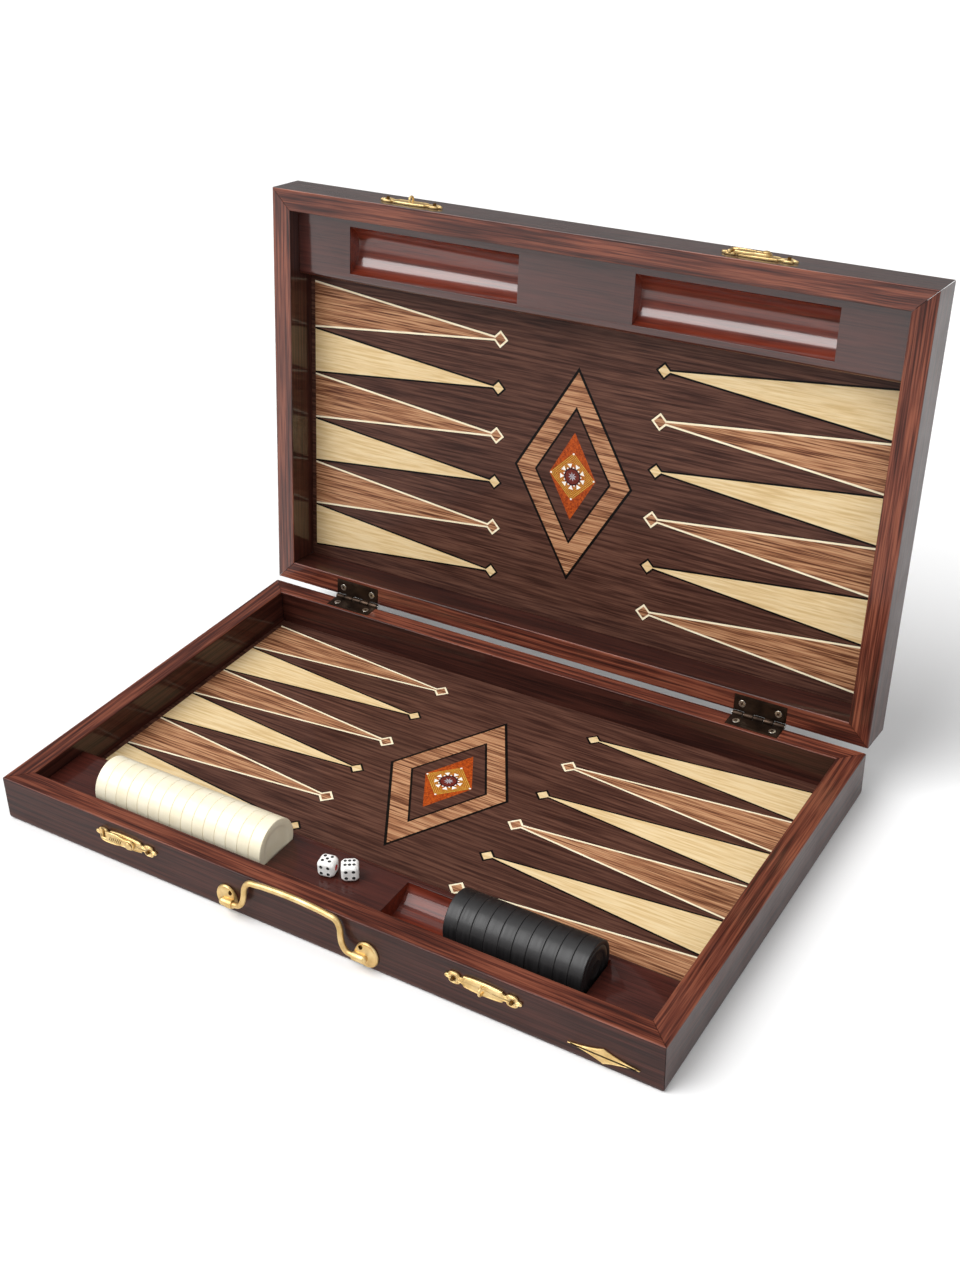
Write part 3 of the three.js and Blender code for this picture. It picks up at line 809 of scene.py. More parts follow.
# %% [markdown]
# ## Medallion
#
# The middle of each field has a large lozenge built like a frame: a black line, a band of streaky
# veneer, a thinner black line, the dark field again, and a small bright mosaic. The mosaic is a
# strip of stained wood with fine nested lines, and a round rosette of light chips about a dark
# disc. Nested lines and chips in a ring both repeat by rule, so two small trees make them.

# %% Trees for nested frames and rings of chips
nested_copies, given, shown = new_tree(
    "nested_copies", "GeometryNodeTree",
    [("Geometry", GEOMETRY, None), ("Count", COUNT, 3), ("Shrink", FLOAT, 0.15),
     ("Material", MATERIAL, None)],
    [("Geometry", GEOMETRY)])
places = put(nested_copies, "GeometryNodeMeshLine",
             {"Count": given["Count"], "Offset": (0, 0, 0)}).outputs[0]
rank = nested_copies.nodes.new("GeometryNodeInputIndex").outputs[0]
loss = calculate(nested_copies, "MULTIPLY", rank, given["Shrink"])
size = calculate(nested_copies, "SUBTRACT", 1.0, loss)
size_in_plane = put(nested_copies, "ShaderNodeCombineXYZ", {0: size, 1: size, 2: 1.0}).outputs[0]
copies = put(nested_copies, "GeometryNodeInstanceOnPoints",
             {"Points": places, "Instance": given["Geometry"], "Scale": size_in_plane}).outputs[0]
finish_tree(nested_copies, copies, shown[0], given["Material"])

ring_of_chips, given, shown = new_tree(
    "ring_of_chips", "GeometryNodeTree",
    [("Geometry", GEOMETRY, None), ("Count", COUNT, 8), ("Radius", FLOAT, 0.01),
     ("Start", FLOAT, 0.0), ("Material", MATERIAL, None)],
    [("Geometry", GEOMETRY)])
circle = put(ring_of_chips, "GeometryNodeMeshCircle",
             {"Vertices": given["Count"], "Radius": given["Radius"]}).outputs[0]
rank = ring_of_chips.nodes.new("GeometryNodeInputIndex").outputs[0]
share = calculate(ring_of_chips, "DIVIDE", rank, given["Count"])
angle = calculate(ring_of_chips, "MULTIPLY", share, 2 * math.pi)
facing = put(ring_of_chips, "ShaderNodeCombineXYZ", {2: angle}).outputs[0]
chips = put(ring_of_chips, "GeometryNodeInstanceOnPoints",
            {"Points": circle, "Instance": given["Geometry"], "Rotation": facing}).outputs[0]
start_turn = put(ring_of_chips, "ShaderNodeCombineXYZ", {2: given["Start"]}).outputs[0]
turned_ring = put(ring_of_chips, "GeometryNodeTransform",
                  {"Geometry": chips, "Rotation": start_turn}).outputs[0]
finish_tree(ring_of_chips, turned_ring, shown[0], given["Material"])

# %% [markdown]
# ## Stained chips
#
# The mosaic's chips are cut across the grain and stained, so they look mottled and not streaked.
# Coarse noise between two tones gives that. Seven stains need only a table of their colours.

# %% Stained woods of the mosaic
def stained(name, place, dark, light, grains):
    """A small-grained stained wood, mottled rather than streaked."""
    material, tree, shader = new_material(name)
    vector = pattern_vector(tree, place)
    mottle = spread(tree, noise(tree, vector, grains, 4.0, 0.7), 0.38, 0.62)
    tree.links.new(between(tree, mottle, dark, light), shader.inputs["Base Color"])
    lacquer(tree, shader, vector, coat=0.08, specular=0.15)
    return material


stains = [
    # name, dark colour, light colour, grains per metre
    ("orange_stain", (122, 42, 9), (188, 82, 21), 800),
    ("amber_stain", (140, 62, 16), (186, 104, 34), 1300),
    ("olive_stain", (160, 134, 40), (214, 190, 90), 1500),
    ("maroon_stain", (30, 10, 9), (70, 20, 17), 1200),
    ("garnet_stain", (84, 26, 20), (116, 44, 34), 1200),
    ("silver_inlay", (150, 150, 156), (196, 198, 204), 900),
    ("pearl_chip", (226, 222, 214), (252, 250, 246), 600),
]
print("stained woods:", ", ".join(stain[0] for stain in stains))

# %% [markdown]
# ## Building a medallion
#
# The plates are laid from the largest to the smallest, each a little higher than the one below.
# The nested lines, the chips and the star are each drawn once and repeated by the two trees. All
# of it is drawn about the origin and moved to the middle of the field at the end.

# %% Set a medallion in each field
medallion_half = (46.5 * mm, 79.5 * mm)
inner_share = 0.645
mosaic_half = (18.2 * mm, 32.5 * mm)
lattice_half = 17.4 * mm


def ring_plate(name, outline, inner, low, high):
    """A flat frame between two outlines with the same number of corners."""
    count = len(outline)
    vertices = [(x, y, z) for z in (low, high) for loop in (outline, inner) for x, y in loop]
    faces = []
    for index in range(count):
        following = (index + 1) % count
        outer_low, inner_low = index, count + index
        outer_next, inner_next = following, count + following
        up = 2 * count
        faces.append([outer_low, inner_low, inner_next, outer_next])
        faces.append([outer_low + up, outer_next + up, inner_next + up, inner_low + up])
        faces.append([outer_low, outer_next, outer_next + up, outer_low + up])
        faces.append([inner_low, inner_low + up, inner_next + up, inner_next])
    return add_piece(name, vertices, faces)


def set_medallion(tray, place):
    top = board_high.z
    centre = place @ Matrix.Translation((0, field_middle[tray], 0))
    inner_half = tuple(inner_share * half for half in medallion_half)
    ink = bpy.data.materials[f"ink_line_{tray}"]
    zebra = bpy.data.materials[f"zebra_veneer_{tray}"]
    dark_field = bpy.data.materials[f"field_veneer_{tray}"]
    orange, amber, olive, maroon, garnet, silver, pearl = (
        stained(f"{name}_{tray}", place, colour(*dark), colour(*light), grains)
        for name, dark, light, grains in stains)
    layers = [
        # name, outline, height above the board in mm, wood
        ("medallion_outer_line", rhombus(*medallion_half), 0.04, ink),
        ("medallion_band", rhombus(*medallion_half, 1.9 * mm), 0.07, zebra),
        ("medallion_inner_line", rhombus(*inner_half), 0.09, ink),
        ("medallion_ground", rhombus(*inner_half, 1.5 * mm), 0.11, dark_field),
        ("mosaic_ground", rhombus(*mosaic_half), 0.13, orange),
        ("mosaic_middle", rhombus(lattice_half, lattice_half), 0.15, amber),
    ]
    for name, outline, height, material in layers:
        layer = plate(f"{tray}_{name}", outline, sunk, top + height * mm, material)
        hand_over(layer, tray, centre)

    line = ring_plate(f"{tray}_mosaic_lines", rhombus(lattice_half, lattice_half),
                      rhombus(lattice_half, lattice_half, 0.4 * mm), sunk, top + 0.17 * mm)
    run_tree(line, nested_copies, count=5, shrink=0.1, material=olive)
    hand_over(line, tray, centre)

    for name, radius, height, stain in (("rosette_ring", 6.7, 0.19, maroon),
                                        ("rosette_disc", 5.3, 0.2, garnet)):
        disc = turned(f"{tray}_{name}", drum(radius * mm, sunk, top + height * mm), 48, stain)
        hand_over(disc, tray, centre)

    large_chip = [(-0.6 * mm, 0), (2.6 * mm, -1.9 * mm), (2.6 * mm, 1.9 * mm)]
    small_chip = [(0, -0.8 * mm), (1.3 * mm, 0), (0, 0.8 * mm)]
    rings = [
        # name, outline of a chip, height, number of chips, radius of the ring, first turn, wood
        ("rosette_large_chips", large_chip, 0.21, 9, 6.9, 0.1, pearl),
        ("rosette_small_chips", small_chip, 0.21, 9, 6.3, 0.1 + math.pi / 9, pearl),
        ("rosette_star", rhombus(1.75 * mm, 0.42 * mm), 0.23, 8, 1.7, 0.2, silver),
    ]
    for name, outline, height, count, radius, start, wood in rings:
        chip = plate(f"{tray}_{name}", outline, sunk, top + height * mm)
        run_tree(chip, ring_of_chips, count=count, radius=radius * mm, start=start, material=wood)
        hand_over(chip, tray, centre)

    corner = turned(f"{tray}_mosaic_corner_dots", drum(0.75 * mm, sunk, top + 0.2 * mm), 12)
    run_tree(corner, ring_of_chips, count=4, radius=lattice_half - 0.6 * mm, start=0.0, material=pearl)
    hand_over(corner, tray, centre)


for tray, place in tray_place.items():
    set_medallion(tray, place)


# %% [markdown]
# ## Checkers
#
# A checker is a disc turned from ivory-coloured or black plastic. Its edge is eased, and each face
# has a hollow or rings turned in it. Checkers stored on edge stand in a row, each rolled its own
# way. They could be set one by one, but a Geometry Nodes tree stands the whole row up: it gives
# each copy a random roll and a random tone that the material reads.

# %% Tree for a row of checkers
checker_row, given, shown = new_tree(
    "checker_row", "GeometryNodeTree",
    [("Geometry", GEOMETRY, None), ("Count", COUNT, 15), ("First", VECTOR, None), ("Step", FLOAT, 0.009),
     ("Seed", COUNT, 1), ("Material", MATERIAL, None)],
    [("Geometry", GEOMETRY)])
pace = put(checker_row, "ShaderNodeCombineXYZ", {0: given["Step"]}).outputs[0]
stand = put(checker_row, "GeometryNodeMeshLine",
            {"Count": given["Count"], "Start Location": given["First"], "Offset": pace}).outputs[0]
roll_angle = put(checker_row, "FunctionNodeRandomValue",
                 {"Seed": given["Seed"], 2: 0.0, 3: 2 * math.pi}, data_type="FLOAT").outputs[1]
rolled = put(checker_row, "ShaderNodeCombineXYZ", {0: roll_angle}).outputs[0]
stood = put(checker_row, "GeometryNodeInstanceOnPoints",
            {"Points": stand, "Instance": given["Geometry"], "Rotation": rolled}).outputs[0]
tone_seed = calculate(checker_row, "ADD", given["Seed"], 7.0)
tone = put(checker_row, "FunctionNodeRandomValue", {"Seed": tone_seed, 2: 0.0, 3: 1.0},
           data_type="FLOAT").outputs[1]
toned = put(checker_row, "GeometryNodeStoreNamedAttribute",
            {"Geometry": stood, "Name": "tone", "Value": tone},
            data_type="FLOAT", domain="INSTANCE").outputs[0]
finish_tree(checker_row, toned, shown[0], given["Material"])

# %% [markdown]
# ## Turned plastic
#
# Plastic that was turned on a lathe keeps fine rings about its axis. Noise drawn out in two
# directions makes such rings. Each disc also has a slightly different tone, which the row's tree
# stores as an attribute, so that one material can serve all the discs.

# %% Checker materials
def checker_plastic(name, dark, light, roughness, streak_share, coat, lines):
    """Turned plastic: a tone for each disc, cloudy depth and fine lathe lines round it."""
    material, tree, shader = new_material(name)
    vector = pattern_vector(tree, upright)
    tone = put(tree, "ShaderNodeAttribute", attribute_name="tone").outputs["Fac"]
    cloud = spread(tree, noise(tree, vector, 120.0, 3.0), 0.35, 0.65)
    shade = calculate(tree, "ADD", calculate(tree, "MULTIPLY", tone, 0.55),
                      calculate(tree, "MULTIPLY", cloud, 0.45))
    lathe = noise(tree, stretched(tree, vector, (1, 0.02, 0.02)), lines, 2.0)
    streak = calculate(tree, "MULTIPLY", spread(tree, lathe, 0.35, 0.65), streak_share)
    ground = between(tree, shade, dark, light)
    tree.links.new(between(tree, streak, ground, light), shader.inputs["Base Color"])
    rough = calculate(tree, "ADD", roughness, calculate(tree, "MULTIPLY", streak, 0.15))
    tree.links.new(rough, shader.inputs["Roughness"])
    shader.inputs["Coat Weight"].default_value = coat
    shader.inputs["Coat Roughness"].default_value = 0.15
    bumped(tree, shader, lathe, 0.02 * mm, 0.7)
    return material


ivory = checker_plastic("ivory_plastic", colour(236, 224, 192), colour(246, 238, 214),
                        roughness=0.38, streak_share=0.2, coat=0.2, lines=2600.0)
ebony = checker_plastic("ebony_plastic", colour(5, 5, 6), colour(25, 23, 24),
                        roughness=0.42, streak_share=0.8, coat=0.05, lines=1100.0)
print("checker plastics:", ivory.name, ebony.name)

# %% [markdown]
# ## Turning a disc
#
# Half of a disc's profile is enough: its eased edge, its rim and its hollow face. It is mirrored
# for the other face and spun. The radius and the spacing of the row are measured on the fixed
# parts, so the discs stand exactly where those stood.

# %% Turn the discs and stand the rows
def round_over(corner_radius, corner_height, round_size, steps):
    """The eased edge of a disc, from its side up to its face."""
    middle = (corner_radius - round_size, corner_height - round_size)
    return arc(middle, round_size, round_size, 0, 90, steps)


def checker_disc(name, half_thickness, radius, grooves, eased):
    """grooves are (share of the radius, depth) points of the face, from its rim inwards."""
    flat_side = half_thickness - 1.4 * eased
    edge = [(radius, flat_side)] + round_over(radius, half_thickness, eased, 4)
    upper = edge + [(share * radius, half_thickness - depth) for share, depth in grooves]
    lower = [(r, -h) for r, h in reversed(upper)]
    disc = turned(name, lower + upper, 72)
    disc.data.transform(Matrix.Rotation(math.pi / 2, 4, "Y"))
    return smooth(disc, 50)


dished = [(0.74, 0), (0.71, 0.25 * mm), (0.66, 0.55 * mm), (0.6, 0.75 * mm), (0.45, 0.95 * mm),
          (0.25, 1.05 * mm), (0, 1.1 * mm)]
ringed = [(0.86, 0), (0.845, 0.3 * mm), (0.82, 0.3 * mm), (0.805, 0), (0.62, 0), (0.6, 0.35 * mm),
          (0.57, 0.4 * mm), (0.36, 0.4 * mm), (0.34, 0.15 * mm), (0.3, 0.15 * mm), (0.28, 0.4 * mm),
          (0, 0.4 * mm)]
slack = 0.06 * mm
rows = [
    # colour, plastic, slot, number of discs, profile of the face, eased edge, seed
    ("white", ivory, "ivory_checker", 15, dished, 0.55 * mm, 4),
    ("black", ebony, "ebony_checker", 10, ringed, 0.45 * mm, 9),
]
for colour_name, material, slot, count, face, eased, seed in rows:
    first_low, first_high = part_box(f"{colour_name}_checker_01")
    next_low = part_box(f"{colour_name}_checker_02")[0]
    step = next_low.x - first_low.x
    radius = (first_high.z - first_low.z) / 2
    thickness = abs(step) - slack
    checkers = checker_disc(f"{colour_name}_checkers", thickness / 2, radius, face, eased)
    run_tree(checkers, checker_row, count=count, first=(first_low + first_high) / 2, step=step,
             seed=seed, material=material)
    nodes = [f"{colour_name}_checker_{number:02d}" for number in range(1, count + 1)]
    hand_over(checkers, f"{colour_name}_checkers", None, nodes)


# %% [markdown]
# ## Dice
#
# A cheap die is a moulded cube with well rounded edges and corners ground off by tumbling. Its
# pips are drilled and filled with paint. The body is a divided cube pushed onto the rounded form,
# and the pips are small balls cut out of it, which keep their own paint.

# %% Dice
die_half = 5.5 * mm
die_round = 2.4 * mm
die_ball = 7.4 * mm
pip_radius = 1.25 * mm
pip_offset = 2.3 * mm
pip_patterns = {
    1: [(0, 0)],
    2: [(-1, -1), (1, 1)],
    3: [(-1, -1), (0, 0), (1, 1)],
    4: [(-1, -1), (-1, 1), (1, -1), (1, 1)],
    5: [(-1, -1), (-1, 1), (0, 0), (1, -1), (1, 1)],
    6: [(-0.85, -1.2), (-0.85, 0), (-0.85, 1.2), (0.85, -1.2), (0.85, 0), (0.85, 1.2)],
}


def glossy_paint(name, dark, light, roughness):
    material, tree, shader = new_material(name)
    vector = pattern_vector(tree, upright)
    cloud = spread(tree, noise(tree, vector, 350.0, 3.0), 0.35, 0.65)
    tree.links.new(between(tree, cloud, dark, light), shader.inputs["Base Color"])
    marks = use_group(tree, handling, vector=vector, smudges_per_metre=180.0)
    rough = spread(tree, marks["Smudges"], 0, 1, roughness, roughness + 0.1)
    tree.links.new(rough, shader.inputs["Roughness"])
    return material


def make_die(name, faces, body_paint, pip_paint, red_paint):
    """faces says which number each side shows, by the side's outward direction."""
    work = bmesh.new()
    bmesh.ops.create_cube(work, size=2 * die_half)
    bmesh.ops.subdivide_edges(work, edges=work.edges, cuts=19, use_grid_fill=True)
    flat_half = die_half - die_round
    for vertex in work.verts:
        core = Vector([max(-flat_half, min(flat_half, value)) for value in vertex.co])
        vertex.co = core + (vertex.co - core).normalized() * die_round
        if vertex.co.length > die_ball:
            vertex.co.length = die_ball
    mesh = bpy.data.meshes.new(name)
    work.to_mesh(mesh)
    work.free()
    mesh.materials.append(body_paint)
    body = put_in_scene(name, mesh)
    pips = []
    for direction, number in faces.items():
        outward = Vector(direction)
        across = Vector((outward.y, outward.z, outward.x))
        along = outward.cross(across)
        size = 1.75 * pip_radius if number == 1 else pip_radius
        for u, v in pip_patterns[number]:
            profile = [(size * math.sin(math.pi * step / 10), -size * math.cos(math.pi * step / 10))
                       for step in range(11)]
            profile[0] = (0, -size)
            profile[-1] = (0, size)
            pip = turned("pip", profile, 20, red_paint if number == 1 else pip_paint)
            at = outward * (die_half + 0.45 * size) + (across * u + along * v) * pip_offset
            pip.data.transform(Matrix.Translation(at))
            pips.append(pip)
    carve(body, join("pips", pips))
    return smooth(body, 40)


die_paint = glossy_paint("die_white", colour(240, 239, 236), colour(250, 249, 247), 0.12)
pip_paint = glossy_paint("pip_black", colour(5, 5, 5), colour(12, 12, 12), 0.4)
red_paint = glossy_paint("pip_red", colour(150, 24, 26), colour(190, 40, 38), 0.25)
sides_of_a_die = [(0, 0, 1), (0, 0, -1), (0, -1, 0), (0, 1, 0), (1, 0, 0), (-1, 0, 0)]
dice = [
    # node, body, turn in degrees, numbers on top, bottom, front, back, right and left
    ("die_left", "left_die", 12, (5, 2, 4, 3, 1, 6)),
    ("die_right", "right_die", 33, (6, 1, 4, 3, 5, 2)),
]
for name, die_body, turn, numbers in dice:
    faces = dict(zip(sides_of_a_die, numbers))
    low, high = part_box(name)
    die = make_die(f"{name}_body", faces, die_paint, pip_paint, red_paint)
    place = Matrix.Translation((low + high) / 2) @ Matrix.Rotation(math.radians(turn), 4, "Z")
    hand_over(die, die_body, place, [name])


# %% [markdown]
# ## Metals
#
# The handle, latches and ornament are pressed or cast brass with a satin finish, and their nails
# and screws are the same brass, darker with age. That darker brass also lines the holes and the
# screw drives, as painted shade in these recesses. The hinges are steel plated a dark bronze, with
# screws of bright steel. One function makes all of them: the colour drifts a little, the polish
# is uneven, and fine scratches show in the bump.

# %% Metal materials
def metal(name, place, dark, light, roughness, scratch=0.5):
    material, tree, shader = new_material(name)
    vector = pattern_vector(tree, place)
    marks = use_group(tree, handling, vector=vector, smudges_per_metre=90.0, scratches_per_metre=2500.0)
    tree.links.new(between(tree, marks["Smudges"], light, dark), shader.inputs["Base Color"])
    uneven = calculate(tree, "MULTIPLY", marks["Scratches"], 0.05)
    polish = spread(tree, marks["Smudges"], 0, 1, roughness, roughness + 0.12)
    tree.links.new(calculate(tree, "ADD", polish, uneven), shader.inputs["Roughness"])
    shader.inputs["Metallic"].default_value = 1.0
    bumped(tree, shader, marks["Scratches"], 0.01 * mm, scratch)
    return material


brass = {tray: metal(f"satin_brass_{tray}", place, colour(204, 170, 110), colour(236, 208, 152), 0.4, 0.08)
         for tray, place in tray_place.items()}
bronze = {tray: metal(f"dark_bronze_{tray}", place, colour(40, 31, 26), colour(74, 60, 50), 0.36, 0.8)
          for tray, place in tray_place.items()}
steel = {tray: metal(f"bright_steel_{tray}", place, colour(150, 144, 134), colour(206, 200, 188), 0.22)
         for tray, place in tray_place.items()}
# Aged brass for the heads of nails and small screws, which also paints shade on hole walls and drives.
aged_brass_and_shade = {tray: metal(f"shaded_brass_{tray}", place, colour(70, 48, 22), colour(120, 88, 44), 0.4)
             for tray, place in tray_place.items()}
for side in ("left", "right"):
    frame["nodes"][f"{side}_hinge_pin"].material_slots[0].material = steel["base"]
print("metals:", ", ".join(kind["base"].name for kind in (brass, bronze, steel, aged_brass_and_shade)))

# %% [markdown]
# ## Screws and nails
#
# Fasteners come in regular sets: two screws in each hinge leaf, two nails in each latch plate, one
# screw in each handle plate. One tree covers all of them. It sets a group of fasteners along x,
# repeats the group, and turns each one by a random amount, because no joiner lines up the slots.
# The material goes only to the head's faces; what is cut into it stays dark, as painted shade.

# %% Tree for fasteners
fasteners, given, shown = new_tree(
    "fasteners", "GeometryNodeTree",
    [("Geometry", GEOMETRY, None), ("Groups", COUNT, 2), ("Group Spacing", FLOAT, 0.3),
     ("Each", COUNT, 2), ("Each Spacing", FLOAT, 0.03), ("Seed", COUNT, 1),
     ("Material", MATERIAL, None)],
    [("Geometry", GEOMETRY)])


def centred_line(tree, count, spacing):
    """A line of points along x with its middle at the origin."""
    spaces = calculate(tree, "SUBTRACT", count, 1.0)
    half = calculate(tree, "MULTIPLY", calculate(tree, "MULTIPLY", spaces, spacing), -0.5)
    start = put(tree, "ShaderNodeCombineXYZ", {0: half}).outputs[0]
    pace = put(tree, "ShaderNodeCombineXYZ", {0: spacing}).outputs[0]
    values = {"Count": count, "Start Location": start, "Offset": pace}
    return put(tree, "GeometryNodeMeshLine", values).outputs[0]


each_line = centred_line(fasteners, given["Each"], given["Each Spacing"])
group_line = centred_line(fasteners, given["Groups"], given["Group Spacing"])
spots = put(fasteners, "GeometryNodeInstanceOnPoints",
            {"Points": group_line, "Instance": each_line}).outputs[0]
real_spots = put(fasteners, "GeometryNodeRealizeInstances", {0: spots}).outputs[0]
slot_turn = put(fasteners, "FunctionNodeRandomValue", {"Seed": given["Seed"], 2: 0.0, 3: math.pi},
                data_type="FLOAT").outputs[1]
slot_rotation = put(fasteners, "ShaderNodeCombineXYZ", {2: slot_turn}).outputs[0]
driven = put(fasteners, "GeometryNodeInstanceOnPoints",
             {"Points": real_spots, "Instance": given["Geometry"], "Rotation": slot_rotation}).outputs[0]
slot_number = fasteners.nodes.new("GeometryNodeInputMaterialIndex").outputs[0]
head_faces = calculate(fasteners, "LESS_THAN", slot_number, 0.5)
finish_tree(fasteners, driven, shown[0], given["Material"], head_faces)

# %% [markdown]
# ## Two kinds of fastener
#
# A screw's crowned head is turned, and its cross drive is cut out with a small plus-shaped punch
# that tapers as it goes down. A nail is only turned. Both keep few faces, as there are many of
# them and they are small.

# %% A countersunk screw and a round-headed nail
def cross_outline(reach, width):
    """A plus sign, anticlockwise."""
    quarter = [(reach, -width), (reach, width), (width, width)]
    points = []
    for _ in range(4):
        points += quarter
        quarter = [(-y, x) for x, y in quarter]
    return points


def make_screw(name, head, metal_material):
    """Its face is at z = 0, slightly crowned, with a cross drive cut in it."""
    profile = [(0, -1.4 * mm), (0.45 * head, -1.3 * mm), (0.96 * head, -0.2 * mm), (head, -0.05 * mm),
               (0.94 * head, 0.06 * mm), (0.6 * head, 0.12 * mm), (0, 0.14 * mm)]
    screw = turned(name, profile, 32, metal_material)
    # The cross drive's faces get the dark brass, as painted shade in the recess.
    drive = relief("drive", cross_outline(0.56 * head, 0.13 * head),
                   [(0.12 * mm, -0.9 * mm), (0, 0.4 * mm)], bpy.data.materials["shaded_brass_base"])
    carve(screw, drive)
    return smooth(screw, 30)


def make_nail(name, head, material):
    """A small domed head, its rim at z = 0."""
    profile = [(0, -0.9 * mm), (0.5 * head, -0.9 * mm), (0.5 * head, -0.05 * mm), (head, 0),
               (0.85 * head, 0.28 * head), (0.5 * head, 0.45 * head), (0, 0.52 * head)]
    return smooth(turned(name, profile, 20, material), 60)


# %% [markdown]
# ## Hinges
#
# Each butt hinge has two leaves folded round a pin. The leaves need countersunk holes for the
# screws. The fixed part gives the leaf's exact form, so a copy of it is merged, its flat faces
# are made whole, the countersinks are cut and all its edges are eased.

# %% Hinge leaves and their screws
screw_head = 2.5 * mm
screw_spacing = 26 * mm
screw_seed = {"base": 3, "lid": 8}


def copy_of(node, name, material):
    """A merged copy of a fixed part, with its flat faces made whole."""
    work = bmesh.new()
    work.from_mesh(frame["nodes"][node].data)
    bmesh.ops.remove_doubles(work, verts=work.verts, dist=1e-6)
    bmesh.ops.dissolve_limit(work, angle_limit=math.radians(1), verts=work.verts, edges=work.edges)
    mesh = bpy.data.meshes.new(name)
    work.to_mesh(mesh)
    work.free()
    mesh.materials.clear()
    mesh.materials.append(material)
    return put_in_scene(name, mesh)


leaf_low, leaf_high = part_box("right_hinge_base_leaf")
leaf_top = 33.7 * mm
screw_y = leaf_low.y + 6.1 * mm
hinge_spacing = leaf_low.x + leaf_high.x
for tray, place in tray_place.items():
    for side in ("left", "right"):
        node = f"{side}_hinge_{tray}_leaf"
        leaf = copy_of(node, f"{side}_{tray}_hinge_leaf", bronze[tray])
        leaf.data.transform(place.inverted())
        low, high = box_in(node, place)
        for hand in (-1, 1):
            profile = [(0, -1.1 * mm), (1.45 * mm, -1.1 * mm), (2.75 * mm, 0.03 * mm),
                       (2.75 * mm, 1 * mm), (0, 1 * mm)]
            sink = turned("countersink", profile, 32, bronze[tray])
            at = ((low.x + high.x) / 2 + hand * screw_spacing / 2, screw_y, leaf_top)
            sink.data.transform(Matrix.Translation(at))
            carve(leaf, sink)
        bevel(leaf, 0.12 * mm, 2, 40)
        smooth(leaf, 35)
        hand_over(leaf, tray, place, [node])
    screws = make_screw(f"{tray}_hinge_screws", screw_head, steel[tray])
    run_tree(screws, fasteners, groups=2, group_spacing=hinge_spacing, each=2,
             each_spacing=screw_spacing, seed=screw_seed[tray], material=steel[tray])
    hand_over(screws, tray, place @ Matrix.Translation((0, screw_y, leaf_top)))


# %% [markdown]
# ## Latches
#
# A latch is a pair of pressed brass plates with a scalloped edge. One carries a swinging hook
# shaped like a leaf, the other a small wire staple. Their edge could be traced, but a few soft
# curves between named points are easier to change, and a quarter of the outline is enough.

# %% Scalloped outline
def scalloped(half_length, half_height):
    """Body, waist, lobe round the nail and end lobe, for one quarter, then mirrored."""
    steps = 7
    shoulder = (0.5 * half_length, 0.8 * half_height)
    waist = (0.6 * half_length, 0.42 * half_height)
    lobe = (0.76 * half_length, 0.86 * half_height)
    neck = (0.9 * half_length, 0.32 * half_height)
    tip = (half_length, 0)
    quarter = bend((0, half_height), (0.3 * half_length, half_height), shoulder, 5)
    quarter += bend(shoulder, (shoulder[0], waist[1]), waist, steps)
    quarter += bend(waist, (waist[0], lobe[1]), lobe, steps)
    quarter += bend(lobe, (neck[0], lobe[1]), neck, steps)
    quarter += bend(neck, (half_length, neck[1]), tip, steps)
    right_top = quarter + [tip]
    left_top = [(-x, y) for x, y in reversed(right_top[1:])]
    top = left_top + right_top
    bottom = [(x, -y) for x, y in reversed(top[1:-1])]
    return (top + bottom)[::-1]


front_face_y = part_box("base_front_rail")[0].y


def on_front(x, z, out=0.0):
    """From a drawing's plane to a front face: drawn x and y lie along it, and z stands out."""
    at = Matrix.Translation((x, front_face_y - out, z))
    return at @ Matrix.Rotation(math.pi / 2, 4, "X")


# %% [markdown]
# ## Latch plates
#
# Each plate rises from its outline in levels, with an engraved groove near its edge. Two nail
# holes are cut through it with small drums, which bring their own darker brass as painted shade.

# %% Latch plates
plate_gap = 0.3 * mm
plate_levels = [(0, 0), (0, 0.9 * mm), (0.3 * mm, 1.2 * mm), (0.75 * mm, 1.2 * mm), (0.9 * mm, 0.95 * mm),
                (1.1 * mm, 0.95 * mm), (1.25 * mm, 1.2 * mm)]
plate_half_height = 4.8 * mm
nail_spacing = 38 * mm


def latch_plate(name, node, tray):
    """A scalloped plate with two nail holes, and its place on the front of its tray."""
    place = shut_place[tray]
    low, high = box_in(node, place)
    half_length = (high.x - low.x) / 2
    piece = relief(name, scalloped(half_length, plate_half_height), plate_levels, brass[tray])
    holes = []
    for hand in (-1, 1):
        # The hole's walls get the dark brass, as painted shade.
        hole = turned("nail_hole", drum(1.15 * mm, -1 * mm, 3 * mm), 20, aged_brass_and_shade[tray])
        hole.data.transform(Matrix.Translation((hand * nail_spacing / 2, 0, 0)))
        holes.append(hole)
    carve(piece, join("nail_holes", holes))
    smooth(piece, 30)
    return piece, place @ on_front((low.x + high.x) / 2, (low.z + high.z) / 2, plate_gap)


# %% [markdown]
# ## Ribs on the hook
#
# The hook's leaf is raised in slanting ribs, like the veins of a shell. One low rounded ridge is
# drawn, and a tree sets seven in a row, each a little shorter than the last.

